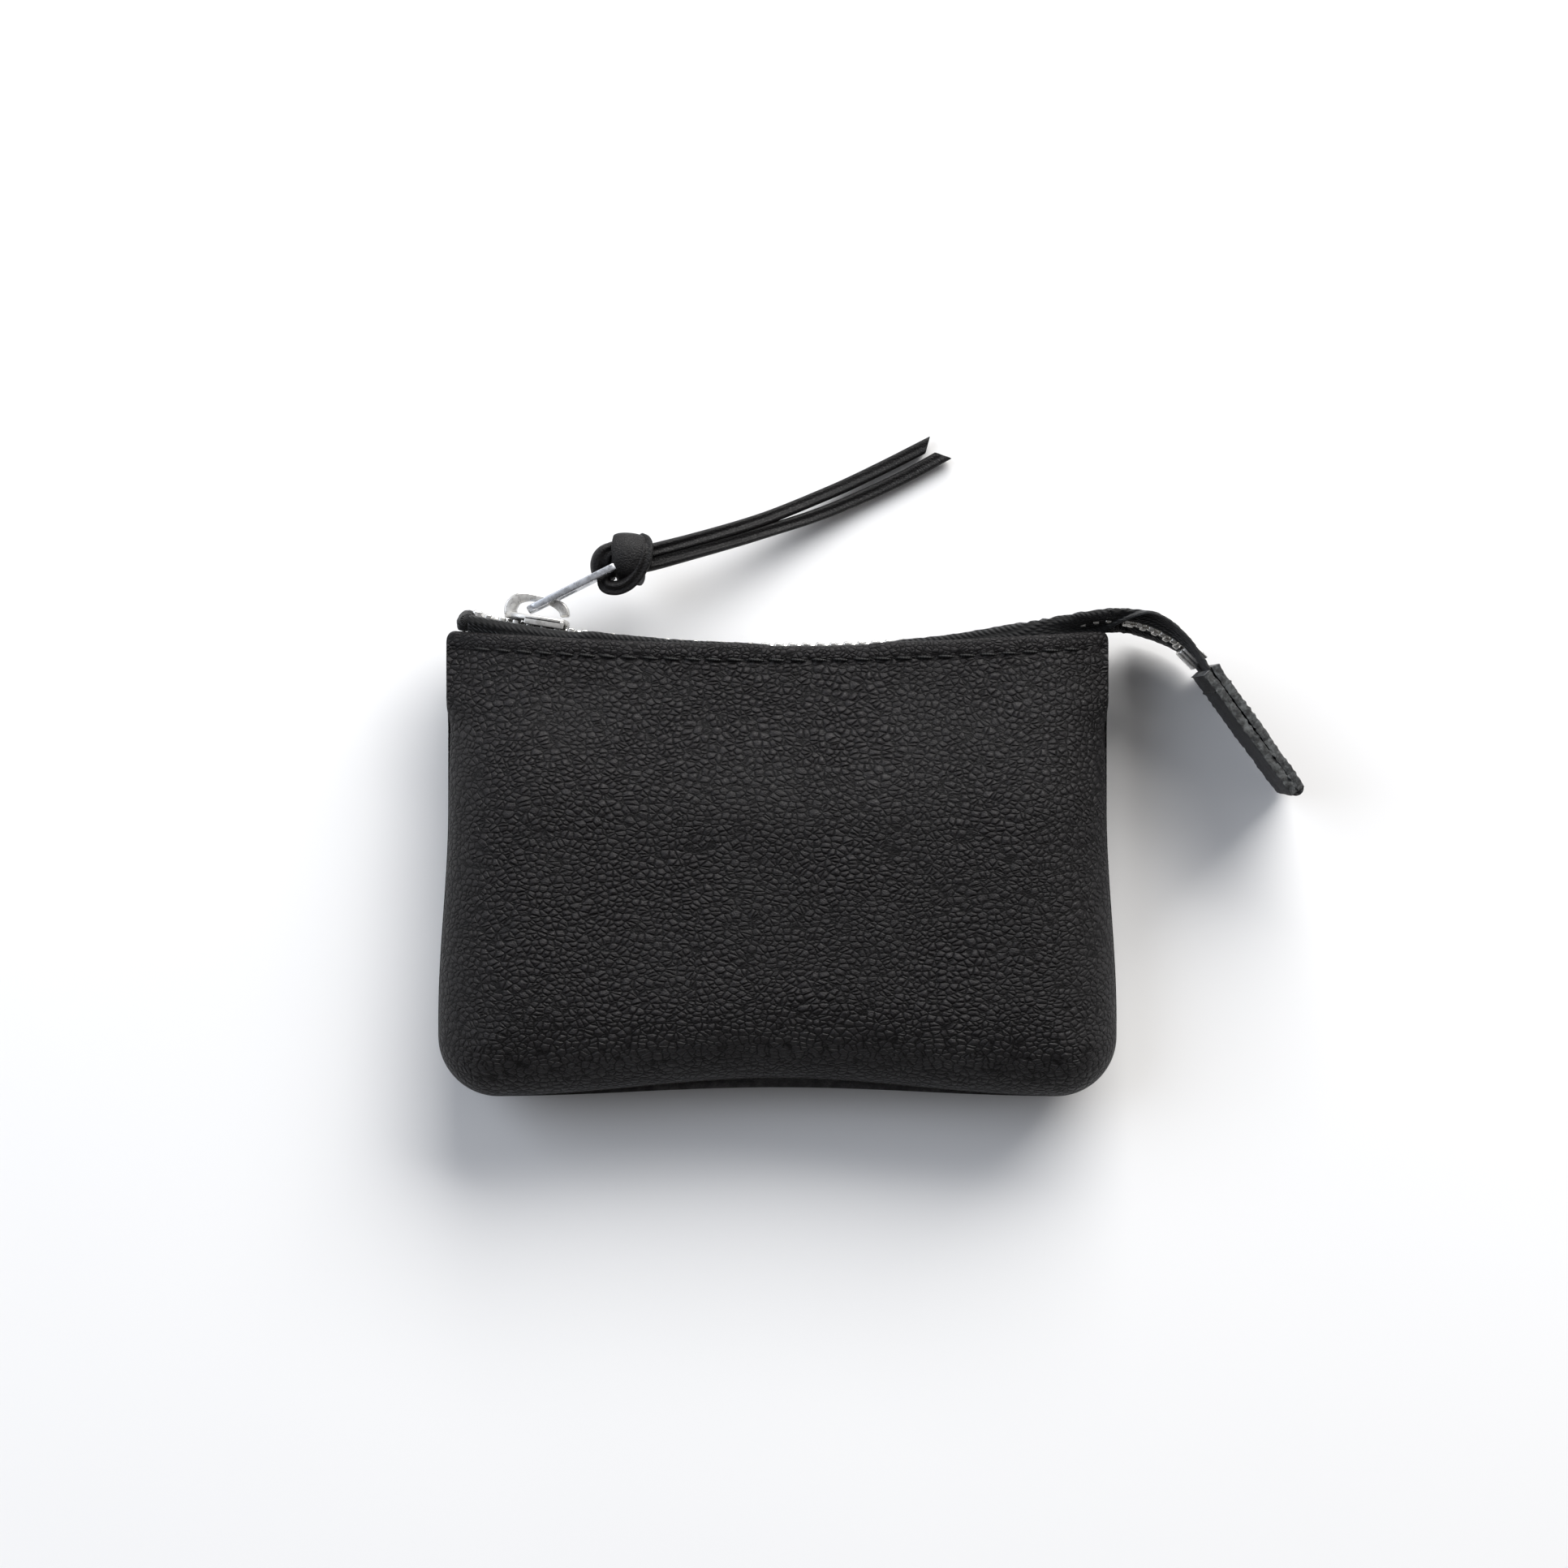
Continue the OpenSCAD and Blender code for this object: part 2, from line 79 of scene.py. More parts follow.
BASE_HALF, TOP_Y = box_mm("front_panel")[1][:2]
BOTTOM_Y = box_mm("back_panel")[0][1]
MID_Z = joint_mm("slider_travel")[2]
SIDE_FLARE = 1.8
MOUTH_HALF = BASE_HALF - SIDE_FLARE
CORNER_R = 11.0
EDGE_ROLL = 17.0
LEATHER = 1.5
FRONT_LIFT = 3.2
BACK_LIFT = 1.6
LIFT_HALF = 52.0
MOUTH_DIP = 2.6
LIP_GAP = 5.6
CORNER_GAP = 1.75
LIP_SQUARENESS = 12
MOUTH_TAPER = 34.0
STITCH_INSET = 3.0
STITCH_PITCH = 3.8

ZIP_PIVOT = joint_mm("slider_travel")
ZIP_MID_X = ZIP_PIVOT[0]
ZIP_LOW_Y = TOP_Y - MOUTH_DIP + 0.3
ZIP_R = ZIP_PIVOT[1] - ZIP_LOW_Y
TOOTH_PITCH = 2.5
CHAIN_W = 5.2
TOOTH_T = 2.0
TAPE_W = 20.0
TAPE_T = 0.5
TAPE_N = -TOOTH_T / 2
CHAIN_START_X = -MOUTH_HALF + 7.6
ARC_END_X = MOUTH_HALF - 3.5
TAPE_START_X = -MOUTH_HALF + 5
SLIDER_X = -MOUTH_HALF + 17

TAIL_R = 21.5
TAIL_TURN = math.radians(65)
HINGE_RUN = 7.6
TAB_L = 28.0
TAB_GRIP = 9.0


# ---------------------------------------------------------------- curves of the pouch and the zip

def smooth(t):
    """An eased step from 0 to 1."""
    c = np.clip(t, 0, 1)
    return c * c * (3 - 2 * c)


def rounded(t):
    """A quarter circle from 0 to 1."""
    c = 1 - np.clip(t, 0, 1)
    return np.sqrt(1 - c * c)


def half_width(y):
    """The pouch's half width, which flares towards the bottom."""
    return MOUTH_HALF + SIDE_FLARE * smooth((10 - y) / 38)


def lip_y(x):
    """The lip, which dips in the middle."""
    return TOP_Y - MOUTH_DIP * (1 - (x / MOUTH_HALF) ** 2)


def lift_at(x, lift):
    """How far a panel's bottom edge rises, most in the middle."""
    return lift * (1 + np.cos(np.pi * np.minimum(1, np.abs(x) / LIFT_HALF))) / 2


def hem_y(x, lift):
    """A panel's bottom edge, with its rounded corners."""
    run = np.maximum(0, np.abs(x) - (BASE_HALF - CORNER_R))
    return BOTTOM_Y + lift_at(x, lift) + CORNER_R - np.sqrt(np.maximum(0, CORNER_R**2 - run**2))


def seam_distance(x, y, lift):
    """How far a point lies inside the seam."""
    side = half_width(y) - np.abs(x)
    low = y - BOTTOM_Y - lift_at(x, lift)
    a, b = CORNER_R - side, CORNER_R - low
    both = (a > 0) & (b > 0)
    return np.where(both, CORNER_R - np.hypot(np.maximum(a, 0), np.maximum(b, 0)), np.minimum(side, low))


def lip_half(x):
    """The mouth's half gap at the lip: closed at the corners and square between them."""
    reach = np.minimum(1, np.abs(x) / (MOUTH_HALF - 1))
    return CORNER_GAP + (LIP_GAP - CORNER_GAP) * (1 - reach**LIP_SQUARENESS)


def body_half(x, y):
    """The pouch's half thickness away from its seams."""
    lip = lip_half(x) + LEATHER
    return lip + (MID_Z - lip) * smooth((lip_y(x) - y) / MOUTH_TAPER)


def corner_open(x, y):
    """1 near the lip, where the side seam has ended, and 0 below it."""
    return smooth((y - lip_y(x) + 18) / 6)


def edge_in(x, y):
    """The leather's inner face at the seam, measured from the middle."""
    return 0.1 + (CORNER_GAP - 0.1) * corner_open(x, y)


def outer_half(x, y, lift):
    """A panel's outer face, measured from the middle."""
    edge = edge_in(x, y) + 0.1 + (LEATHER - 0.1) * corner_open(x, y)
    return edge + np.maximum(0, body_half(x, y) - edge) * rounded(seam_distance(x, y, lift) / EDGE_ROLL)


def inner_half(x, y, lift):
    """A panel's inner face, measured from the middle."""
    edge = edge_in(x, y)
    roll = rounded((seam_distance(x, y, lift) - LEATHER) / (EDGE_ROLL - LEATHER))
    return edge + np.maximum(0, body_half(x, y) - LEATHER - edge) * roll


def zip_y(x):
    """The zip's shallow bow along the mouth."""
    return ZIP_PIVOT[1] - math.sqrt(ZIP_R**2 - (x - ZIP_MID_X) ** 2)


ARC_TURN = math.asin((ARC_END_X - ZIP_MID_X) / ZIP_R)
TAIL_BEND_L = TAIL_R * TAIL_TURN


def zip_place(x):
    """(x, y, heading) on the zip's outer face; past the bow, x counts the length along the tail."""
    if x <= ARC_END_X:
        return x, zip_y(x), math.asin((x - ZIP_MID_X) / ZIP_R)
    run = x - ARC_END_X
    bent = min(run, TAIL_BEND_L)
    turn = ARC_TURN - bent / TAIL_R
    past = run - bent
    return (
        ARC_END_X + TAIL_R * (math.sin(ARC_TURN) - math.sin(turn)) + past * math.cos(turn),
        zip_y(ARC_END_X) + TAIL_R * (math.cos(turn) - math.cos(ARC_TURN)) + past * math.sin(turn),
        turn,
    )


def on_zip(place, n, z):
    """A point n out from the teeth's face at a place on the zip, z from the middle."""
    return place[0] - n * math.sin(place[2]), place[1] + n * math.cos(place[2]), MID_Z + z


def zip_matrix(place):
    """Puts a piece drawn with X along the zip and Y out of the pouch at a place on it, in millimetres."""
    return Matrix.Translation((place[0], place[1], MID_Z)) @ Matrix.Rotation(place[2], 4, "Z")


# ---------------------------------------------------------------- making meshes

def make(name, verts, faces, material, uvs=None):
    """A mesh object from points in millimetres. uvs holds one (u, v) for each point."""
    mesh = bpy.data.meshes.new(name)
    mesh.from_pydata([tuple(float(c) * MM for c in v) for v in verts], [], faces)
    mesh.validate()
    obj = bpy.data.objects.new(name, mesh)
    bpy.context.scene.collection.objects.link(obj)
    for m in material if isinstance(material, list) else [material]:
        mesh.materials.append(m)
    mesh.polygons.foreach_set("use_smooth", [True] * len(mesh.polygons))
    if uvs is not None:
        layer = mesh.uv_layers.new(name="weave")
        for loop in mesh.loops:
            layer.data[loop.index].uv = uvs[loop.vertex_index]
    return obj


def face_out(obj):
    """Turns every face outwards."""
    bm = bmesh.new()
    bm.from_mesh(obj.data)
    bmesh.ops.recalc_face_normals(bm, faces=bm.faces)
    bm.to_mesh(obj.data)
    bm.free()


def apply_modifiers(obj):
    graph = bpy.context.evaluated_depsgraph_get()
    done = bpy.data.meshes.new_from_object(obj.evaluated_get(graph))
    obj.modifiers.clear()
    obj.data = done


def bevel(obj, width, segments=2, angle=40):
    m = obj.modifiers.new("bevel", "BEVEL")
    m.width = width * MM
    m.segments = segments
    m.limit_method = "ANGLE"
    m.angle_limit = math.radians(angle)
    m.harden_normals = False
    apply_modifiers(obj)


def join(name, objs):
    """One object from several, keeping their materials."""
    bm = bmesh.new()
    materials = []
    for o in objs:
        keep = [materials.index(m) if m in materials else materials.append(m) or len(materials) - 1
                for m in o.data.materials]
        start = len(bm.faces)
        copy = o.data.copy()
        copy.transform(o.matrix_world)
        bm.from_mesh(copy)
        bm.faces.ensure_lookup_table()
        for f in bm.faces[start:]:
            f.material_index = keep[f.material_index]
        bpy.data.meshes.remove(copy)
    mesh = bpy.data.meshes.new(name)
    bm.to_mesh(mesh)
    bm.free()
    for m in materials:
        mesh.materials.append(m)
    for o in objs:
        bpy.data.objects.remove(o)
    obj = bpy.data.objects.new(name, mesh)
    bpy.context.scene.collection.objects.link(obj)
    return obj


def ring_faces(rings, sides):
    """Quads between rings of points that follow each other."""
    faces = []
    for r in range(rings - 1):
        for k in range(sides):
            a, b = r * sides + k, r * sides + (k + 1) % sides
            faces.append((a, b, b + sides, a + sides))
    return faces


def sweep(name, rings, material, uvs=None):
    """A closed section carried through rings of points."""
    sides, count = len(rings[0]), len(rings)
    faces = ring_faces(count, sides)
    faces.append(tuple(reversed(range(sides))))
    faces.append(tuple((count - 1) * sides + k for k in range(sides)))
    obj = make(name, [p for r in rings for p in r], faces, material, uvs)
    face_out(obj)
    return obj


def smooth_route(points, count):
    """Points at even lengths along a Catmull-Rom curve through the given ones."""
    p = np.array(points, float)
    ends = np.vstack([2 * p[0] - p[1], p, 2 * p[-1] - p[-2]])
    fine = []
    for i in range(len(p) - 1):
        p0, p1, p2, p3 = ends[i:i + 4]
        for f in np.linspace(0, 1, 40, endpoint=False):
            fine.append(0.5 * (2 * p1 + (p2 - p0) * f + (2 * p0 - 5 * p1 + 4 * p2 - p3) * f * f
                               + (3 * p1 - p0 - 3 * p2 + p3) * f**3))
    fine.append(p[-1])
    fine = np.array(fine)
    run = np.concatenate([[0], np.cumsum(np.linalg.norm(np.diff(fine, axis=0), axis=1))])
    at = np.linspace(0, run[-1], count)
    return np.stack([np.interp(at, run, fine[:, k]) for k in range(3)], axis=1)


def directions(path):
    along = np.gradient(path, axis=0)
    return along / np.linalg.norm(along, axis=1)[:, None]


def noise_at(points, scale, seed):
    """Smooth noise from -1 to 1 at each point, with features about scale millimetres across."""
    return np.array([noise.noise(Vector((p[0] / scale + seed, p[1] / scale - seed, p[2] / scale)))
                     for p in points])


# ---------------------------------------------------------------- materials

def new_material(name):
    material = bpy.data.materials.new(name)
    material.use_nodes = True
    nodes = material.node_tree.nodes
    shader = nodes["Principled BSDF"]
    return material, nodes, material.node_tree.links, shader


def set_inputs(node, **values):
    for key, value in values.items():
        node.inputs[key.replace("_", " ")].default_value = value


def texture(nodes, links, kind, vector, **values):
    node = nodes.new("ShaderNodeTex" + kind)
    links.new(vector, node.inputs["Vector"])
    set_inputs(node, **values)
    return node


def math_node(nodes, links, operation, a, b):
    node = nodes.new("ShaderNodeMath")
    node.operation = operation
    for socket, value in zip(node.inputs, (a, b)):
        if isinstance(value, (int, float)):
            socket.default_value = value
        else:
            links.new(value, socket)
    return node.outputs[0]


def map_range(nodes, links, value, low, high, to_low=0.0, to_high=1.0):
    """Eases a value from one range into another."""
    node = nodes.new("ShaderNodeMapRange")
    node.interpolation_type = "SMOOTHSTEP"
    links.new(value, node.inputs["Value"])
    node.inputs["From Min"].default_value = low
    node.inputs["From Max"].default_value = high
    node.inputs["To Min"].default_value = to_low
    node.inputs["To Max"].default_value = to_high
    return node.outputs["Result"]


def mix_colour(nodes, links, factor, a, b):
    node = nodes.new("ShaderNodeMix")
    node.data_type = "RGBA"
    links.new(factor, node.inputs[0])
    node.inputs[6].default_value = (*a, 1)
    node.inputs[7].default_value = (*b, 1)
    return node.outputs[2]


def bump(nodes, links, shader, height, distance):
    """Fine relief, distance millimetres deep where height is 1."""
    node = nodes.new("ShaderNodeBump")
    node.inputs["Distance"].default_value = distance * MM
    links.new(height, node.inputs["Height"])
    links.new(node.outputs[0], shader.inputs["Normal"])


def warped(nodes, links, vector, scale, amount):
    """A vector pushed about by noise, so that a pattern isn't regular. Scale is features per metre."""
    wobble = texture(nodes, links, "Noise", vector, Scale=scale, Detail=2.0)
    centred = nodes.new("ShaderNodeVectorMath")
    centred.operation = "SUBTRACT"
    links.new(wobble.outputs["Color"], centred.inputs[0])
    centred.inputs[1].default_value = (0.5, 0.5, 0.5)
    scaled = nodes.new("ShaderNodeVectorMath")
    scaled.operation = "SCALE"
    links.new(centred.outputs[0], scaled.inputs[0])
    scaled.inputs["Scale"].default_value = amount * MM
    moved = nodes.new("ShaderNodeVectorMath")
    moved.operation = "ADD"
    links.new(vector, moved.inputs[0])
    links.new(scaled.outputs[0], moved.inputs[1])
    return moved.outputs[0]


def stretched(nodes, links, vector, scale, turn=0.0):
    node = nodes.new("ShaderNodeMapping")
    node.inputs["Scale"].default_value = scale
    node.inputs["Rotation"].default_value = (0, 0, turn)
    links.new(vector, node.inputs["Vector"])
    return node.outputs[0]


def leather(name, pebble=1.18, depth=0.42, dark=(0.003, 0.0026, 0.0028), light=(0.0125, 0.011, 0.012)):
    """Pebbled leather: rounded cells parted by creases, with finer grain on the cells."""
    material, nodes, links, shader = new_material(name)
    place = nodes.new("ShaderNodeTexCoord").outputs["Object"]
    flow = warped(nodes, links, place, 60, 3.2)
    flow = warped(nodes, links, flow, 420, 0.4)
    wide = stretched(nodes, links, flow, (0.84, 1.12, 1.0), 0.2)
    cells = texture(nodes, links, "Voronoi", wide, Scale=1 / (pebble * MM), Randomness=0.95)
    edges = texture(nodes, links, "Voronoi", wide, Scale=1 / (pebble * MM), Randomness=0.95)
    edges.feature = "DISTANCE_TO_EDGE"
    small = texture(nodes, links, "Voronoi", wide, Scale=2.3 / (pebble * MM), Randomness=1.0)
    small.feature = "DISTANCE_TO_EDGE"
    fine = texture(nodes, links, "Noise", place, Scale=5200, Detail=3.0)
    patch = texture(nodes, links, "Noise", place, Scale=55, Detail=2.0)
    crease = map_range(nodes, links, edges.outputs["Distance"], 0.0, 0.2)
    dome = map_range(nodes, links, cells.outputs["Distance"], 0.0, 0.75, 1.0, 0.35)
    little = map_range(nodes, links, small.outputs["Distance"], 0.0, 0.16)
    open_grain = map_range(nodes, links, patch.outputs[0], 0.35, 0.68, 0.55, 1.0)
    height = math_node(nodes, links, "MULTIPLY", crease, dome)
    height = math_node(nodes, links, "MULTIPLY", height, open_grain)
    for part, share in ((little, 0.1), (fine.outputs[0], 0.12)):
        height = math_node(nodes, links, "ADD", height, math_node(nodes, links, "MULTIPLY", part, share))
    bump(nodes, links, shader, height, depth)
    depth_of_tone = map_range(nodes, links, patch.outputs[0], 0.3, 0.7, 0.6, 1.0)
    # The base colour is darker in the creases between the cells: painted shade, scaled by a random patchy
    # tone.
    tone = math_node(nodes, links, "MULTIPLY", crease, depth_of_tone)
    links.new(mix_colour(nodes, links, tone, dark, light), shader.inputs["Base Color"])
    links.new(map_range(nodes, links, fine.outputs[0], 0.3, 0.7, 0.46, 0.6), shader.inputs["Roughness"])
    # The shine is also lowered in the creases, as painted shade in the reflection.
    links.new(map_range(nodes, links, crease, 0.0, 0.7, 0.17, 0.29), shader.inputs["Specular IOR Level"])
    return material


def smooth_leather(name, colour=(0.0055, 0.005, 0.0054), scale=0.5, depth=0.05, rough=(0.48, 0.62)):
    """Fine-grained leather, as on a stretched lip or a lace."""
    material, nodes, links, shader = new_material(name)
    place = nodes.new("ShaderNodeTexCoord").outputs["Object"]
    flow = warped(nodes, links, place, 500, 0.5)
    edges = texture(nodes, links, "Voronoi", flow, Scale=1 / (scale * MM), Randomness=1.0)
    edges.feature = "DISTANCE_TO_EDGE"
    fine = texture(nodes, links, "Noise", place, Scale=4200, Detail=4.0)
    height = math_node(nodes, links, "ADD", map_range(nodes, links, edges.outputs["Distance"], 0.0, 0.22),
                       math_node(nodes, links, "MULTIPLY", fine.outputs[0], 0.5))
    bump(nodes, links, shader, height, depth)
    dim = tuple(c * 0.6 for c in colour)
    links.new(mix_colour(nodes, links, fine.outputs[0], dim, colour), shader.inputs["Base Color"])
    links.new(map_range(nodes, links, fine.outputs[0], 0.3, 0.7, *rough), shader.inputs["Roughness"])
    set_inputs(shader, Specular_IOR_Level=0.3)
    return material


def suede(name, dark, light, depth=0.12, patches=500):
    """The flesh side or a raw cut edge: matt, fibrous and a little patchy."""
    material, nodes, links, shader = new_material(name)
    place = nodes.new("ShaderNodeTexCoord").outputs["Object"]
    fibre = texture(nodes, links, "Noise", place, Scale=2600, Detail=6.0, Roughness=0.75)
    patch = texture(nodes, links, "Noise", place, Scale=patches, Detail=2.0)
    tone = math_node(nodes, links, "MULTIPLY", fibre.outputs[0], patch.outputs[0])
    links.new(mix_colour(nodes, links, map_range(nodes, links, tone, 0.16, 0.4), dark, light),
              shader.inputs["Base Color"])
    bump(nodes, links, shader, fibre.outputs[0], depth)
    set_inputs(shader, Roughness=0.92, Specular_IOR_Level=0.2, Sheen_Weight=0.35, Sheen_Roughness=0.6)
    return material


def woven(name, colour=(0.006, 0.006, 0.0065)):
    """Woven zip tape: slanting ribs that run along it, from the mesh's own lengths."""
    material, nodes, links, shader = new_material(name)
    place = nodes.new("ShaderNodeUVMap")
    place.uv_map = "weave"
    ribs = texture(nodes, links, "Wave", place.outputs[0], Scale=0.32, Distortion=0.4, Detail=1.0)
    ribs.bands_direction = "Y"
    slant = texture(nodes, links, "Wave", stretched(nodes, links, place.outputs[0], (1, 1, 1), 0.9),
                    Scale=0.5, Distortion=0.3, Detail=1.0)
    fine = texture(nodes, links, "Noise", place.outputs[0], Scale=6.0, Detail=3.0)
    height = math_node(nodes, links, "MULTIPLY", ribs.outputs["Color"], slant.outputs["Color"])
    height = math_node(nodes, links, "ADD", height, math_node(nodes, links, "MULTIPLY", fine.outputs[0], 0.3))
    bump(nodes, links, shader, height, 0.3)
    # The tape's colour follows the rib relief: painted shade in the grooves and painted light on the rib tops.
    dim, lit = tuple(c * 0.35 for c in colour), tuple(c * 1.6 for c in colour)
    links.new(mix_colour(nodes, links, height, dim, lit), shader.inputs["Base Color"])
    set_inputs(shader, Roughness=0.8, Specular_IOR_Level=0.3, Sheen_Weight=0.15)
    return material


def metal(name, colour, rough=0.22, brushed=0.0, plated=0.95):
    """Plated metal with small scuffs, and fine lines along X where it is brushed."""
    material, nodes, links, shader = new_material(name)
    place = nodes.new("ShaderNodeTexCoord").outputs["Object"]
    scuff = texture(nodes, links, "Noise", place, Scale=900, Detail=5.0, Roughness=0.6)
    drawn = stretched(nodes, links, place, (0.05, 1, 1))
    lines = texture(nodes, links, "Noise", drawn, Scale=6000, Detail=2.0)
    polish = map_range(nodes, links, scuff.outputs[0], 0.35, 0.7, rough * 0.75, rough * 1.5)
    links.new(polish, shader.inputs["Roughness"])
    height = math_node(nodes, links, "ADD", math_node(nodes, links, "MULTIPLY", lines.outputs[0], brushed),
                       math_node(nodes, links, "MULTIPLY", scuff.outputs[0], 0.25))
    bump(nodes, links, shader, height, 0.0007)
    dim = tuple(c * 0.86 for c in colour)
    links.new(mix_colour(nodes, links, scuff.outputs[0], dim, colour), shader.inputs["Base Color"])
    set_inputs(shader, Metallic=plated)
    return material


def thread(name, colour=(0.006, 0.006, 0.006)):
    """Twisted sewing thread: the twist runs across the stitch."""
    material, nodes, links, shader = new_material(name)
    place = nodes.new("ShaderNodeTexCoord").outputs["Object"]
    slanted = stretched(nodes, links, place, (1, 1, 1), 0.7)
    twist = texture(nodes, links, "Wave", slanted, Scale=900, Distortion=0.5)
    bump(nodes, links, shader, twist.outputs["Color"], 0.06)
    # The thread's colour is darker in the grooves of its twist: painted shade.
    links.new(mix_colour(nodes, links, twist.outputs["Color"], tuple(c * 0.5 for c in colour), colour),
              shader.inputs["Base Color"])
    set_inputs(shader, Roughness=0.55, Specular_IOR_Level=0.45)
    return material


PANEL = leather("panel_leather")
LIP = leather("lip_leather", pebble=0.85, depth=0.22)
TAB = leather("tab_leather", pebble=1.0, depth=0.2)
LACE = smooth_leather("lace_leather")
FLESH = suede("flesh_side", (0.012, 0.011, 0.011), (0.05, 0.046, 0.045))
RAW_EDGE = suede("raw_edge", (0.003, 0.0035, 0.0036), (0.1, 0.108, 0.108), 0.45, 1100)
TAPE = woven("zip_tape")
THREAD = thread("thread")
TEETH = metal("zip_metal", (0.72, 0.71, 0.68), 0.26)
STOPS = metal("stop_metal", (0.8, 0.79, 0.77), 0.25)
SLIDER = metal("slider_metal", (0.6, 0.59, 0.57), 0.3, plated=0.72)
PULL = metal("pull_metal", (0.56, 0.58, 0.62), 0.3, brushed=0.25, plated=0.8)


# ---------------------------------------------------------------- baking the front pieces in place


def opens_with_mouth(obj):
    """Bakes the piece's placement into its mesh."""
    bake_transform(obj)


# ---------------------------------------------------------------- camera, light and table

VIEW_CENTRE = (1.2, 14.5)
VIEW_WIDTH = 285.8
CAMERA_HEIGHT = 560.0
SENSOR = 36.0


def add_camera():
    data = bpy.data.cameras.new("camera")
    data.sensor_width = SENSOR
    data.lens = SENSOR * CAMERA_HEIGHT / VIEW_WIDTH
    data.clip_start = 0.01
    obj = bpy.data.objects.new("camera", data)
    obj.location = (VIEW_CENTRE[0] * MM, VIEW_CENTRE[1] * MM, (MID_Z + CAMERA_HEIGHT) * MM)
    bpy.context.scene.collection.objects.link(obj)
    bpy.context.scene.camera = obj


def add_light(name, place, target, size, power, colour):
    data = bpy.data.lights.new(name, "AREA")
    data.shape = "RECTANGLE"
    data.size, data.size_y = size
    data.energy = power
    data.color = colour
    obj = bpy.data.objects.new(name, data)
    obj.location = place
    aim = Vector(target) - Vector(place)
    obj.rotation_euler = aim.to_track_quat("-Z", "Y").to_euler()
    bpy.context.scene.collection.objects.link(obj)


def add_lights():
    add_light("window", (0.5, 1.3, 0.85), (0.0, 0.0, 0.0), (1.5, 0.8), 43, (1.0, 0.985, 0.96))
    add_light("far_window", (-1.1, 0.5, 1.1), (0.0, 0.0, 0.0), (1.2, 1.2), 11, (0.88, 0.95, 1.06))
    world = bpy.data.worlds.new("room")
    world.use_nodes = True
    nodes, links = world.node_tree.nodes, world.node_tree.links
    shade = nodes["Background"]
    way = nodes.new("ShaderNodeSeparateXYZ")
    links.new(nodes.new("ShaderNodeTexCoord").outputs["Generated"], way.inputs[0])
    height = map_range(nodes, links, way.outputs["Z"], 0.15, 0.95)
    sky = mix_colour(nodes, links, height, (1.0, 1.02, 1.07), (0.5, 0.5, 0.52))
    facing = map_range(nodes, links, way.outputs["Y"], -0.7, 0.4)
    room = mix_colour(nodes, links, facing, (0.1, 0.085, 0.07), (1, 1, 1))
    both = nodes.new("ShaderNodeMix")
    both.data_type = "RGBA"
    both.blend_type = "MULTIPLY"
    both.inputs[0].default_value = 1.0
    links.new(sky, both.inputs[6])
    links.new(room, both.inputs[7])
    links.new(both.outputs[2], shade.inputs["Color"])
    shade.inputs["Strength"].default_value = 0.55
    bpy.context.scene.world = world
    bpy.context.scene.view_settings.view_transform = "Standard"


def add_table():
    material, nodes, links, shader = new_material("table_top")
    place = nodes.new("ShaderNodeTexCoord").outputs["Object"]
    mottle = texture(nodes, links, "Noise", place, Scale=9, Detail=3.0)
    links.new(mix_colour(nodes, links, mottle.outputs[0], (0.88, 0.88, 0.885), (0.91, 0.91, 0.91)),
              shader.inputs["Base Color"])
    set_inputs(shader, Roughness=0.7, Specular_IOR_Level=0.25)
    reach = 2500
    verts = [(-reach, -reach, -0.05), (reach, -reach, -0.05), (reach, reach, -0.05), (-reach, reach, -0.05)]
    make("table", verts, [(0, 1, 2, 3)], material)


# ---------------------------------------------------------------- panels

EDGE_STEPS = 34
MIDDLE_STEPS = 130
UP_STEPS = 120
LIP_STEPS = 5
SEAM_PINCH = 1.1
SEAM_REACH = 1.5
LIP_CORNER = 1.7


def roll_steps():
    return EDGE_ROLL * (1 - np.cos(np.linspace(0, np.pi / 2, EDGE_STEPS)))


def panel_grid(lift):
    """Rows of points from the hem to the lip, in columns that crowd towards the seams."""
    roll = roll_steps()
    middle = np.linspace(EDGE_ROLL - BASE_HALF, BASE_HALF - EDGE_ROLL, MIDDLE_STEPS)[1:-1]
    low_x = np.concatenate([roll - BASE_HALF, middle, (BASE_HALF - roll)[::-1]])
    u = low_x / BASE_HALF
    hem = hem_y(low_x, lift)
    top = lip_y(u * MOUTH_HALF) - LEATHER / 2
    first = hem[None, :] + roll[:, None]
    share = np.linspace(0, 1, UP_STEPS)[1:, None]
    rest = first[-1][None, :] + (top - first[-1])[None, :] * share
    y = np.vstack([first, rest])
    x = u[None, :] * half_width(y)
    return x, y


def swell(x, y, lift, seed):
    """Slow hollows and swells that soft leather takes on, none at the seams and the lip."""
    points = np.stack([x.ravel(), y.ravel(), np.zeros(x.size)], axis=1)
    slow = noise_at(points, 34, seed).reshape(x.shape)
    quick = noise_at(points, 13, seed + 7).reshape(x.shape)
    mask = smooth(seam_distance(x, y, lift) / 9) * smooth((lip_y(x) - y) / 10)
    return (0.55 * slow + 0.16 * quick) * mask


def lip_profile(x, y):
    """The folded lip stands a little proud above its row of stitches, which pulls a groove."""
    below = y - (lip_y(x) - STITCH_INSET)
    band = 0.34 * smooth((below + 0.35) / 0.7)
    pucker = 1 - 0.45 * np.cos(2 * np.pi * x / STITCH_PITCH)
    groove = 0.26 * pucker * np.exp(-(below / 0.55) ** 2)
    return (band - groove) * smooth(seam_distance(x, y, 0) / 1.2)


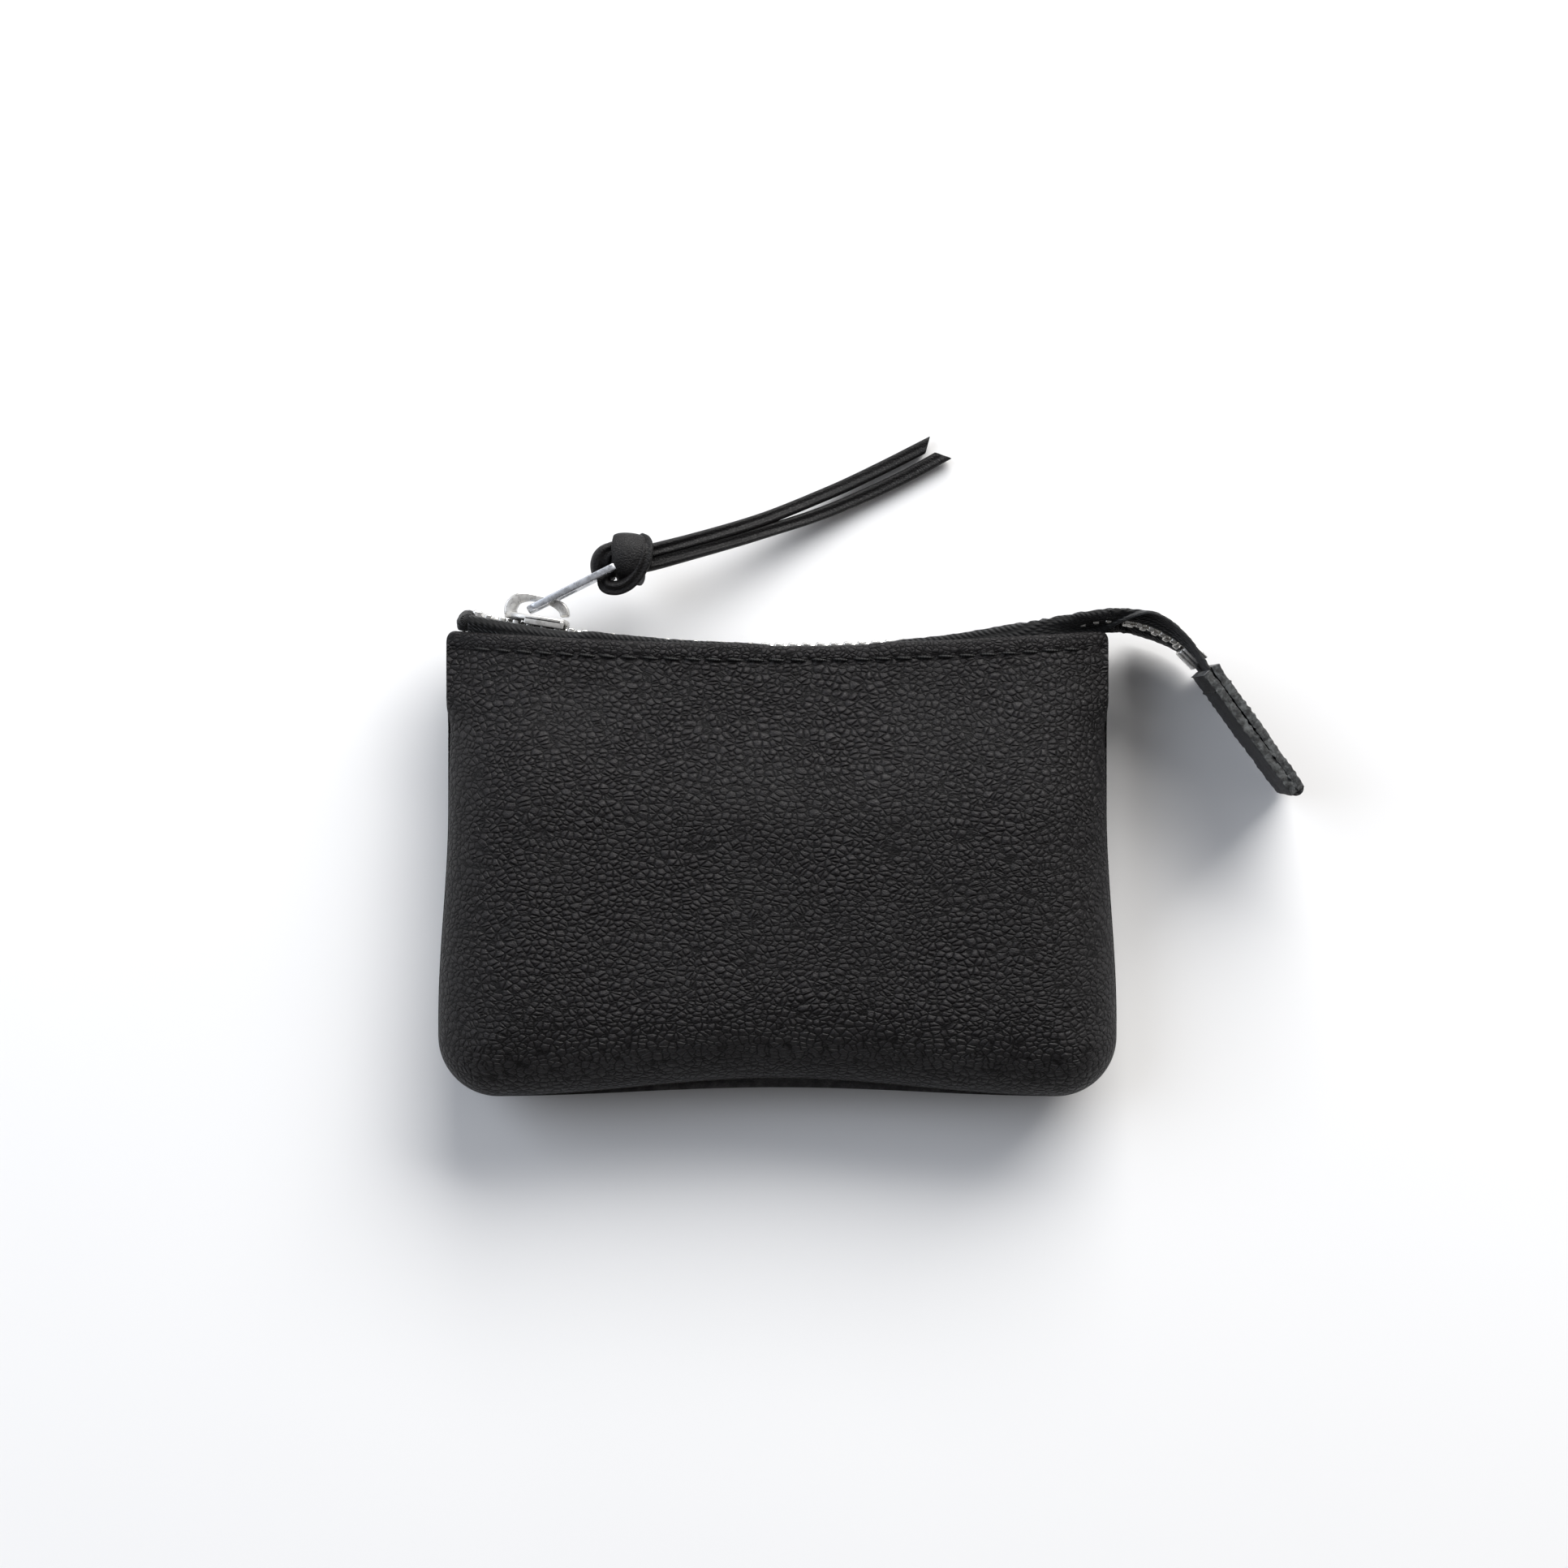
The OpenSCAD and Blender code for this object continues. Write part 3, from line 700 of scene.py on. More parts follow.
def panel(name, lift, side, seed):
    x, y = panel_grid(lift)
    outer = outer_half(x, y, lift) + lip_profile(x, y)
    if side > 0:
        outer = outer + swell(x, y, lift, seed)
    inner = inner_half(x, y, lift)
    distance = seam_distance(x, y, lift)
    pinch = SEAM_PINCH * np.exp(-(outer / SEAM_REACH) ** 2) * (1 - corner_open(x, y))
    near = distance < EDGE_ROLL
    side_gap = half_width(y) - np.abs(x)
    low_gap = y - BOTTOM_Y - lift_at(x, lift)
    ax, ay = np.maximum(0, CORNER_R - side_gap), np.maximum(0, CORNER_R - low_gap)
    length = np.maximum(1e-6, np.hypot(ax, ay))
    ox = x - np.sign(x) * ax / length * pinch * near
    oy = y + ay / length * pinch * near
    short = np.clip(LIP_CORNER - side_gap, 0, LIP_CORNER)
    drop = (LIP_CORNER - np.sqrt(LIP_CORNER**2 - short**2)) * smooth((y - lip_y(x) + 7) / 6)
    dip = 0.5 * smooth((x + 5) / 5) * smooth((19 - x) / 5) * smooth((y - lip_y(x) + 5) / 5)
    drop = drop + dip * (side > 0)
    oy, iy = oy - drop, y - drop
    rows = [np.stack([ox[j], oy[j], outer[j]], axis=1) for j in range(len(y))]
    middle, radius = (outer[-1] + inner[-1]) / 2, (outer[-1] - inner[-1]) / 2
    for turn in np.linspace(0, np.pi, LIP_STEPS + 2)[1:-1]:
        crown = iy[-1] + LEATHER / 2 * np.sin(turn)
        rows.append(np.stack([x[-1], crown, middle + radius * np.cos(turn)], axis=1))
    rows += [np.stack([x[j], iy[j], inner[j]], axis=1) for j in reversed(range(len(y)))]
    wide, count = x.shape[1], len(rows)
    verts = np.vstack(rows)
    verts[:, 2] = MID_Z + side * verts[:, 2]
    faces, slots = [], []
    lip_top = lip_y(x) - STITCH_INSET
    for r in range(count - 1):
        for k in range(wide - 1):
            a = r * wide + k
            faces.append((a, a + 1, a + wide + 1, a + wide))
            on_outside = r < len(y) + LIP_STEPS // 2 + 1
            on_lip = on_outside and (r >= len(y) or y[r, k] > lip_top[r, k])
            slots.append(1 if on_lip else 0 if on_outside else 2)
    for k in range(wide - 1):
        faces.append((k, (count - 1) * wide + k, (count - 1) * wide + k + 1, k + 1))
        slots.append(2)
    for column in (0, wide - 1):
        for r in range((count - 1) // 2):
            a, b, c, d = r, r + 1, count - 2 - r, count - 1 - r
            ring = [a, b, d] if b == c else [a, b, c, d]
            faces.append(tuple(q * wide + column for q in ring))
            slots.append(1)
    obj = make(name, verts, faces, [PANEL, LIP, FLESH])
    obj.data.polygons.foreach_set("material_index", slots[:len(obj.data.polygons)])
    face_out(obj)
    return obj


def add_panels():
    front = panel("front_leather", FRONT_LIFT, 1, 3.0)
    opens_with_mouth(front)
    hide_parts("front_panel")
    back = panel("back_leather", BACK_LIFT, -1, 9.0)
    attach(back, "pouch")
    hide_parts("back_panel")


# ---------------------------------------------------------------- stitches

def stitch(points, normal, radius=0.27, sides=8):
    """Rings of one stitch, plump in the middle and dipping into the leather at its ends."""
    path = np.array(points, float)
    along = directions(path)
    rings = []
    for i, (p, d) in enumerate(zip(path, along)):
        size = radius * (0.35 + 0.65 * math.sin(math.pi * (i + 0.6) / (len(path) + 0.2)) ** 0.4)
        across = np.cross(normal, d)
        across /= np.linalg.norm(across)
        up = np.cross(d, across)
        rings.append([p + size * (math.cos(t) * across + math.sin(t) * up)
                      for t in np.linspace(0, 2 * np.pi, sides, endpoint=False)])
    return rings


def stitch_row(name, paths, node, normal=(0, 0, 1)):
    """All the stitches of one row as one piece."""
    verts, faces = [], []
    for path in paths:
        rings = stitch(path, normal)
        start, sides = len(verts), len(rings[0])
        verts += [p for r in rings for p in r]
        faces += [tuple(start + q for q in f) for f in ring_faces(len(rings), sides)]
        faces.append(tuple(start + q for q in reversed(range(sides))))
        faces.append(tuple(start + (len(rings) - 1) * sides + q for q in range(sides)))
    obj = make(name, verts, faces, THREAD)
    face_out(obj)
    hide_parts(node)
    return obj


def lip_stitch_paths(side, lift):
    count = int((2 * MOUTH_HALF - 8) / STITCH_PITCH)
    first = -(count - 1) / 2 * STITCH_PITCH
    paths = []
    for k in range(count):
        x = np.linspace(-1.45, 1.45, 7) + first + k * STITCH_PITCH
        y = lip_y(x) - STITCH_INSET + np.linspace(0.12, -0.12, 7)
        arch = 0.2 * np.sin(np.linspace(0, np.pi, 7)) - 0.12
        height = outer_half(x, y, lift) + lip_profile(x, y) + 0.06 + arch
        paths.append(np.stack([x, y, MID_Z + side * height], axis=1))
    return paths


def add_lip_stitches():
    front = stitch_row("front_lip_thread", lip_stitch_paths(1, FRONT_LIFT), "front_lip_stitch")
    opens_with_mouth(front)
    back = stitch_row("back_lip_thread", lip_stitch_paths(-1, BACK_LIFT), "back_lip_stitch")
    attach(back, "pouch")


# ---------------------------------------------------------------- zip tape and teeth

FLANK_LEAN = 1.7
TAIL_TAPE_START = MOUTH_HALF + 0.2
TAB_TWIST = -0.04


def tape_half(x):
    if x <= MOUTH_HALF - 1:
        reach = x + FLANK_LEAN * np.sign(x)
        return float(inner_half(reach, lip_y(x) - 0.05, 0)) - 0.15
    return CORNER_GAP - 0.15 + (TAPE_W / 2 - CORNER_GAP + 0.15) * float(smooth((x - MOUTH_HALF + 0.2) / 4.6))


def tape_line(x, side):
    """The half tape's middle line as (n, z), from beside the teeth to its edge."""
    ridge = 0.85 - 0.7 * float(smooth((x + 6) / 6) * smooth((24 - x) / 6))
    ridge += 0.55 * float(smooth((x - 26) / 22))
    ridge -= 1.1 * float(smooth((-32 - x) / 7))
    depth = 8.2 - 5.6 * float(smooth((x - 42) / 10))
    run = x - ARC_END_X
    curl = (1.75 if side > 0 else -1.5) * float(smooth((TAIL_BEND_L + 2 - run) / 16))
    edge = tape_half(x) - TAPE_T / 2 if x < MOUTH_HALF else CORNER_GAP - 0.35
    inside = CHAIN_W / 2 - 0.5
    n = TAPE_N
    folded = [(n, inside), (n, 3.5), (n + 0.1 * ridge, 4.35), (n + ridge, 4.95),
              (n + ridge - 0.7, max(edge, 5.2)), (n - 0.35 * depth, edge), (n - 0.7 * depth, edge),
              (n - depth, edge)]
    flat = [(n, inside), (n - 0.1, 3.3), (n + 0.42 * curl, 4.2), (n + 0.85 * curl, 5.2), (n + curl, 6.3),
            (n + 1.02 * curl, 7.5), (n + curl, 8.7), (n + 0.9 * curl, 9.8)]
    open_out = float(smooth((x - MOUTH_HALF + 2) / 10))
    twist = TAB_TWIST * side * float(smooth((run - TAIL_BEND_L + 13) / 12))
    shut = 1 - open_out
    points = [(a[0] * shut + (b[0] + twist * b[1]) * open_out, a[1] * shut + b[1] * open_out, 0)
              for a, b in zip(folded, flat)]
    return smooth_route(points, 22)


def tape_ring(x, side):
    """The half tape's section: folded down inside the lip along the mouth, and flat on the tail."""
    place = zip_place(x)
    line = tape_line(x, side)
    along = directions(line)
    across = np.stack([-along[:, 1], along[:, 0]], axis=1)
    wobble = 0.15 * np.array([noise.noise(Vector((x * 1.1, z * 0.9, n * 0.9 + 7 * side)))
                              for n, z, _ in line])
    ring, uvs = [], []
    for face in (1, -1):
        order = range(len(line)) if face > 0 else reversed(range(len(line)))
        for k in order:
            n, z = line[k, :2] + across[k] * (face * TAPE_T / 2 + wobble[k])
            ring.append(on_zip(place, n, side * z))
            uvs.append((x, 0.45 * k + (0 if face > 0 else 20)))
    return ring, uvs


def half_tape(name, side, start, end, count):
    rings, uvs = [], []
    for x in np.linspace(start, end, count):
        ring, uv = tape_ring(x, side)
        rings.append(ring)
        uvs += uv
    return sweep(name, rings, TAPE, uvs)


def tooth_rings(place, side):
    """One tooth: two legs clamped on the tape, a waist, and a head that reaches past the middle."""
    # how far from the middle, half width, and how deep and how high the section reaches
    stations = [
        (2.85, 0.5, -1.9, -0.1), (2.6, 0.62, -2.05, 0.05), (1.25, 0.6, -2.0, 0.0),
        (0.95, 0.46, -1.85, -0.15), (0.15, 0.44, -1.8, -0.2), (-0.2, 0.57, -1.95, -0.05),
        (-0.6, 0.5, -1.85, -0.15), (-0.78, 0.3, -1.5, -0.5),
    ]
    rings = []
    for z, half, low, high in stations:
        c = 0.3 * half
        d = 0.2 * (high - low) / 2
        section = [(half, low + d), (half, high - d), (half - c, high), (-half + c, high),
                   (-half, high - d), (-half, low + d), (-half + c, low), (half - c, low)]
        ring = []
        for u, n in section:
            x = place[0] + u * math.cos(place[2]) - n * math.sin(place[2])
            y = place[1] + u * math.sin(place[2]) + n * math.cos(place[2])
            ring.append((x, y, MID_Z + side * z))
        rings.append(ring)
    return rings


def teeth(name, side, first, count):
    verts, faces = [], []
    for k in range(count):
        rings = tooth_rings(zip_place(first + k * TOOTH_PITCH), side)
        start = len(verts)
        verts += [p for r in rings for p in r]
        faces += [tuple(start + q for q in f) for f in ring_faces(len(rings), 8)]
        faces.append(tuple(start + q for q in reversed(range(8))))
        faces.append(tuple(start + (len(rings) - 1) * 8 + q for q in range(8)))
    obj = make(name, verts, faces, TEETH)
    face_out(obj)
    bevel(obj, 0.08, 2, 35)
    return obj


def mouth_teeth_count(offset):
    return int((ARC_END_X + HINGE_RUN - 2.2 - CHAIN_START_X - offset) / TOOTH_PITCH) + 1


def tuck(name, side):
    """The tape's end, folded over on itself into a soft round beside the corner of the mouth."""
    centre = zip_place(TAPE_START_X - 1.0)
    rings, uvs = [], []
    for i, z in enumerate(np.linspace(0.1, 4.6, 14)):
        size = 1.85 * (1 - 0.5 * (i / 13) ** 4)
        ring = []
        for k, t in enumerate(np.linspace(0, 2 * np.pi, 28, endpoint=False)):
            lump = noise.noise(Vector((1.6 * math.cos(t), 1.6 * math.sin(t), z * 0.8 + side)))
            r = size * (1 + 0.16 * lump + 0.05 * math.sin(3 * t + z))
            spot = (centre[0] + r * math.cos(t), centre[1], centre[2])
            ring.append(on_zip(spot, -1.75 + r * math.sin(t), side * z))
            uvs.append((k * 0.42, i * 0.35))
        rings.append(ring)
    return sweep(name, rings, TAPE, uvs)


def add_zip():
    back = join("back_zip_tape", [
        half_tape("back_tape_run", -1, TAPE_START_X - 0.5, TAIL_TAPE_START, 200), tuck("back_tuck", -1)])
    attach(back, "pouch")
    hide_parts("back_tape")
    front = join("front_zip_tape", [
        half_tape("front_tape_run", 1, TAPE_START_X - 0.5, TAIL_TAPE_START, 200), tuck("front_tuck", 1)])
    opens_with_mouth(front)
    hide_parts("front_tape")
    front_teeth = teeth("front_zip_teeth", 1, CHAIN_START_X, mouth_teeth_count(0))
    opens_with_mouth(front_teeth)
    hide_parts("front_teeth")
    back_first = CHAIN_START_X + TOOTH_PITCH / 2
    back_teeth = teeth("back_zip_teeth", -1, back_first, mouth_teeth_count(TOOTH_PITCH / 2) + 1)
    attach(back_teeth, "pouch")
    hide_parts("back_teeth")


# ---------------------------------------------------------------- stops, slider and pull

def block(name, low, high, matrix, material, round_to=0.3):
    """A bevelled metal block between two corners, put in place by a matrix in millimetres."""
    spans = list(zip(low, high))
    corners = [Vector((x, y, z)) for z in spans[2] for y in spans[1] for x in spans[0]]
    faces = [(0, 2, 3, 1), (4, 5, 7, 6), (0, 1, 5, 4), (2, 6, 7, 3), (0, 4, 6, 2), (1, 3, 7, 5)]
    obj = make(name, [matrix @ c for c in corners], faces, material)
    bevel(obj, round_to, 3)
    return obj


def add_stops():
    place = zip_matrix(zip_place(CHAIN_START_X - 2))
    for name, side in (("front", 1), ("back", -1)):
        low, high = sorted((side * 0.2, side * 3.0))
        clamp = block(name + "_stop", (-0.95, -2.4, low), (0.95, 0.4, high), place, STOPS, 0.45)
        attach(clamp, "pouch")
        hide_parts(name + "_top_stop")
    run = zip_place(ARC_END_X + TAIL_BEND_L - 3.4)
    bottom = join("bottom_stop_clamp", [
        block("stop_face", (-1.4, -0.1, -2.7), (2.9, 0.5, 2.7), zip_matrix(run), STOPS, 0.25),
        block("stop_back", (-1.4, -2.8, -2.7), (2.9, -1.9, 2.7), zip_matrix(run), STOPS, 0.25),
        block("stop_core", (-1.2, -2.3, -2.3), (2.7, 0.3, 2.3), zip_matrix(run), STOPS, 0.2)])
    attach(bottom, "tail")
    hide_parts("bottom_stop")


def extrude_outline(name, outline, low, high, matrix, material, width=0.25):
    """A flat plate from an outline of (x, z) points, with its thickness along Y."""
    count = len(outline)
    verts = [matrix @ Vector((x, y, z)) for y in (low, high) for x, z in outline]
    faces = [tuple(range(count)), tuple(reversed(range(count, 2 * count)))]
    faces += [(k, k + count, (k + 1) % count + count, (k + 1) % count) for k in range(count)]
    obj = make(name, verts, faces, material)
    face_out(obj)
    bevel(obj, width, 3, 50)
    return obj


def slider_outline(half=4.2):
    """The plate seen from above: a rounded nose, waisted shoulders and a square heel."""
    points = []
    for t in np.linspace(-1, 1, 13):
        points.append((-6.9 + 1.5 * t * t, 2.9 * t))
    points += [(-4.3, 3.6), (-3.0, half), (3.6, half), (4.4, half - 0.35), (4.9, half - 1.0)]
    points += [(4.9, -half + 1.0), (4.4, -half + 0.35), (3.6, -half), (-3.0, -half), (-4.3, -3.6)]
    return points


def add_slider():
    place = zip_matrix(zip_place(SLIDER_X))
    low, high, under = 0.2, 1.3, -TOOTH_T
    parts = [
        extrude_outline("plate", slider_outline(), low, high, place, SLIDER, 0.3),
        extrude_outline("base", slider_outline(), under - high, under - low, place, SLIDER, 0.3),
        block("bridge", (-6.0, -3.0, -0.25), (-3.8, 1.0, 0.25), place, SLIDER, 0.1),
    ]
    for side in (-1, 1):
        low, high = sorted((side * 3.45, side * 4.2))
        parts.append(block("flange", (-2.9, -0.5, low), (4.3, 0.9, high), place, SLIDER, 0.2))
        parts.append(block("flange", (-2.9, under - 0.9, low), (4.3, under + 0.5, high), place, SLIDER, 0.2))
    spots = [(-5.75, 0.9, 1.15), (-5.95, 2.1, 1.1), (-5.25, 3.65, 0.92), (-3.4, 4.45, 0.68), (-0.4, 4.5, 0.6),
             (2.3, 4.0, 0.74), (3.65, 3.1, 0.92), (4.05, 1.95, 0.8)]
    route = smooth_route([(x, n, 0) for x, n, _ in spots], 26)
    halves = smooth_route([(half, k, 0) for k, (_, _, half) in enumerate(spots)], 26)[:, 0]
    along = directions(route)
    rings = []
    for i, (p, d) in enumerate(zip(route, along)):
        across = np.array([-d[1], d[0], 0])
        wide = 1.5 - 0.25 * math.sin(math.pi * i / (len(route) - 1))
        thick = halves[i]
        rings.append([place @ Vector(p + across * s * thick + np.array([0, 0, w * wide]))
                      for s, w in ((1, 1), (1, -1), (-1, -1), (-1, 1))])
    crown = sweep("crown", rings, SLIDER)
    bevel(crown, 0.28, 3, 50)
    slider = join("slider_casting", parts + [crown])
    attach(slider, "slider")
    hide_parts("slider_body")


PULL_ANGLE = math.radians(35.5)
PULL_L = 18.7
BAR_HALF = 0.65
EYE_X = PULL_L - 0.9


def pull_matrix():
    pivot = joint_mm("pull_swing")
    turn = zip_place(SLIDER_X)[2] + PULL_ANGLE
    return Matrix.Translation(pivot) @ Matrix.Rotation(turn, 4, "Z")


def add_pull():
    """A stamped plate with a slot round the crown and an eye for the lace."""
    curve = bpy.data.curves.new("pull_outline", "CURVE")
    curve.dimensions = "2D"
    curve.fill_mode = "BOTH"
    curve.extrude = 0.42 * MM
    curve.bevel_depth = 0.22 * MM
    curve.bevel_resolution = 2

    def loop(points):
        line = curve.splines.new("POLY")
        line.points.add(len(points) - 1)
        for q, (x, y) in zip(line.points, points):
            q.co = (x * MM, y * MM, 0, 1)
        line.use_cyclic_u = True

    def rounded_box(x0, x1, y0, y1, r, steps=6):
        points = []
        left, right, low, high = x0 + r, x1 - r, y0 + r, y1 - r
        for cx, cy, a0 in ((right, high, 0), (left, high, 90), (left, low, 180), (right, low, 270)):
            for k in range(steps + 1):
                a = math.radians(a0 + 90 * k / steps)
                points.append((cx + r * math.cos(a), cy + r * math.sin(a)))
        return points

    loop([(x, y * (0.9 + 0.1 * smooth(x / 6))) for x, y in rounded_box(0.2, PULL_L - 0.2, -3.3, 3.3, 1.6)])
    loop(list(reversed(rounded_box(1.35, 9.7, -1.85, 1.85, 0.8))))
    loop(list(reversed(rounded_box(EYE_X - 4.0, EYE_X - 0.85, -2.4, 2.4, 0.9))))
    flat = bpy.data.objects.new("pull_flat", curve)
    bpy.context.scene.collection.objects.link(flat)
    graph = bpy.context.evaluated_depsgraph_get()
    mesh = bpy.data.meshes.new_from_object(flat.evaluated_get(graph))
    bpy.data.objects.remove(flat)
    mesh.materials.clear()
    mesh.materials.append(PULL)
    to_metres = Matrix.Scale(MM, 4) @ pull_matrix() @ Matrix.Translation((-BAR_HALF, 0, 0))
    mesh.transform(to_metres @ Matrix.Rotation(math.pi / 2, 4, "X") @ Matrix.Scale(1 / MM, 4))
    obj = bpy.data.objects.new("pull_plate", mesh)
    bpy.context.scene.collection.objects.link(obj)
    face_out(obj)
    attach(obj, "pull")
    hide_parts("pull_tab")


# ---------------------------------------------------------------- lace

KNOT_TURN = math.radians(-7.5)
LACE_ROUTES = {
    "lace_strand_upper": [(6.5, 1, 0.5), (14.4, 0.5, -1), (23.9, 0.2, -4), (33.4, 0.4, -7.4),
                          (42.8, 1, -9.6), (52.3, 2.1, -10.4), (61.8, 3.4, -10.5)],
    "lace_strand_lower": [(6.5, -1.9, 0), (14.4, -2.3, -1.5), (24.9, -2.6, -5), (35.5, -2.5, -8.2),
                          (46, -1.8, -10), (55.5, -0.8, -10.5), (63.9, 0.6, -10.6)],
}


def lace_matrix():
    """Puts points drawn from the eye, with X along the lace, in their place, in millimetres."""
    turn = zip_place(SLIDER_X)[2] + PULL_ANGLE + KNOT_TURN
    return Matrix.Translation(joint_mm("lace_swing")) @ Matrix.Rotation(turn, 4, "Z")


def folded_section(width, height, groove=0.3, sides=32):
    """A flat lace folded lengthwise: two rounded ridges with a groove between them, above and below."""
    points = []
    for t in np.linspace(0, 2 * np.pi, sides, endpoint=False):
        pinch = 1 - groove * abs(math.sin(t)) ** 9
        round_off = (abs(math.cos(t)) ** 2.6 + abs(math.sin(t)) ** 2.6) ** (-1 / 2.6)
        points.append((width / 2 * math.cos(t) * round_off, height / 2 * math.sin(t) * round_off * pinch))
    return points


def flat_section(width, thick, bow=0.0, sides=32):
    """A flat lace with rounded edges, bowed across its width."""
    points = []
    for t in np.linspace(0, 2 * np.pi, sides, endpoint=False):
        round_off = (abs(math.cos(t)) ** 4 + abs(math.sin(t)) ** 4) ** (-1 / 4)
        across = math.cos(t) * round_off
        points.append((width / 2 * across, thick / 2 * math.sin(t) * round_off - bow * across * across))
    return points


def lace_run(name, route, sections, rolls, matrix, count=60, slant=0.0, lean=0.0, across=None):
    """Sections carried along a route; rolls turn them about it. lean shifts them sideways at the start."""
    path = smooth_route(route, count)
    along = directions(path)
    rings, uvs = [], []
    spots = np.linspace(0, 1, len(sections))
    for i, (p, d) in enumerate(zip(path, along)):
        f = i / (count - 1)
        j = min(len(sections) - 2, int(f * (len(sections) - 1)))
        g = (f - spots[j]) / (spots[j + 1] - spots[j])
        g = g * g * (3 - 2 * g)
        section = [(a[0] * (1 - g) + b[0] * g, a[1] * (1 - g) + b[1] * g)
                   for a, b in zip(sections[j], sections[j + 1])]
        roll = np.interp(f, np.linspace(0, 1, len(rolls)), rolls)
        side = np.cross((0, 0, 1.0), d) if across is None else across - np.dot(across, d) * d
        side /= max(1e-6, np.linalg.norm(side))
        over = np.cross(d, side)
        ring = []
        for a, b in section:
            u = a * math.cos(roll) - b * math.sin(roll) + lean * (1 - float(smooth((f - 0.4) / 0.25)))
            v = a * math.sin(roll) + b * math.cos(roll)
            end = slant * max(0.0, (f - 0.93) / 0.07) * a
            ring.append(matrix @ Vector(p + side * u + over * v + d * end))
        rings.append(ring)
        uvs += [(i * 1.0, k * 0.4) for k in range(len(section))]
    return sweep(name, rings, LACE, uvs)


def add_lace():
    matrix = lace_matrix()
    full = [folded_section(2.5, 2.5, 0.5), folded_section(2.45, 2.4, 0.55), folded_section(2.4, 2.3, 0.55),
            folded_section(2.4, 2.2, 0.5), folded_section(2.45, 2.1, 0.42), folded_section(2.5, 2.0, 0.35)]
    for name, roll, slant, lean in (("lace_strand_upper", (0.25, 0.05, -0.15, -0.1, 0.1), 0.9, -0.3),
                                    ("lace_strand_lower", (-0.35, -0.1, 0.1, 0.15, 0.0), -0.9, 0.3)):
        route = LACE_ROUTES[name]
        route = [(4.4, route[0][1] * 0.8, route[0][2])] + route
        path = smooth_route(route, 36)
        tail = lace_run(name + "_leather", route, full, roll, matrix, 110, slant, lean)
        bevel(tail, 0.25, 2, 60)
        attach(tail, "lace")
        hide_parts(name)


def add_knot():
    """The lace goes through the pull's eye, round on both sides, and under its own flat band."""
    matrix = lace_matrix()
    slim = folded_section(2.2, 2.4, 0.2)
    fold = folded_section(2.5, 2.8, 0.4)
    full = folded_section(3.3, 2.8, 0.4)
    wrap = np.array([0.9, -0.43, 0.0])
    wide, mid, less = flat_section(6.3, 1.2, 0.45), flat_section(5.4, 1.2, 0.5), flat_section(3.6, 1.3, 0.3)
    runs = [
        lace_run("loop_left", [(-0.9, -0.8, -1.6), (-2.3, -0.9, -1.5), (-2.9, 0.3, -0.4), (-2.4, 1.8, 0.7),
                               (-1.0, 3.0, 1.2), (0.9, 3.3, 1.0), (3.0, 3.1, 0.0)],
                 [slim, full, full, fold, slim], (0.2, 0.5, 0.3, 0.1), matrix, 70),
        lace_run("loop_low", [(-0.9, -0.6, -0.6), (-2.6, -1.4, 0.2), (-2.7, -2.8, 0.9), (-1.2, -3.7, 1.3),
                              (0.6, -3.75, 1.6), (2.3, -3.2, 1.9), (3.9, -2.2, 2.2), (5.4, -0.7, 2.5),
                              (6.3, 0.9, 2.3), (6.6, 2.4, 1.2), (6.2, 3.2, -0.6)],
                 [slim, fold, fold, fold, fold, slim], (0.2, 0.4, 0.5, 0.3, 0.2, 0), matrix, 110),
        lace_run("band", [(4.3, 4.0, -1.6), (4.5, 4.35, 0.2), (4.3, 4.1, 1.9), (3.7, 2.9, 3.0),
                          (2.9, 1.3, 3.45), (2.1, -0.3, 3.3), (1.5, -1.6, 2.6), (1.2, -2.5, 1.3)],
                 [mid, wide, wide, mid, less], (0, 0), matrix, 90, across=wrap),
        lace_run("band_under", [(4.3, 4.0, -0.9), (4.1, 3.6, -2.3), (3.3, 1.8, -3.2), (2.6, 0.0, -3.4),
                                (2.1, -1.8, -2.9), (1.8, -3.0, -1.3), (1.6, -3.1, 0.4)],
                 [mid, mid, mid, less], (0, 0), matrix, 70, across=wrap),
        lace_run("core", [(-1.4, 0.9, -1.2), (0.6, 0.6, -0.6), (3.2, 0.5, 0.1), (5.0, 0.2, 0.2),
                          (6.8, -0.4, 0.2)],
                 [flat_section(*size)
                  for size in ((2.2, 2.4), (6.0, 4.6), (6.6, 5.6), (5.8, 4.6), (4.6, 2.4))],
                 (0, 0), matrix, 40),
    ]
    knot = join("lace_knot_leather", runs)
    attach(knot, "lace")
    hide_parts("lace_knot")


# ---------------------------------------------------------------- zip tail and its leather tab

def bends_with_tail(obj):
    """Bakes the piece's placement into its mesh."""
    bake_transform(obj)


def add_tail_tape():
    end = ARC_END_X + TAIL_BEND_L + TAB_GRIP - 0.6
    for name, side in (("tail_back_tape", -1), ("tail_front_tape", 1)):
        run = half_tape(name + "_run", side, TAIL_TAPE_START - 0.05, end, 110)
        bends_with_tail(run)
        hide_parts(name)
    first = ARC_END_X + HINGE_RUN - 0.35
    second = first + TOOTH_PITCH / 2
    for name, side, start in (("tail_front_teeth", 1, first), ("tail_back_teeth", -1, second)):
        chain = teeth(name + "_metal", side, start, 5)
        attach(chain, "tail")
        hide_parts(name)


def tab_spot(run, n):
    place = zip_place(ARC_END_X + TAIL_BEND_L)
    x = place[0] + run * math.cos(place[2]) - n * math.sin(place[2])
    y = place[1] + run * math.sin(place[2]) + n * math.cos(place[2])
    return x, y


TAB_HALF = 11.0
TAB_LAYER = 1.5


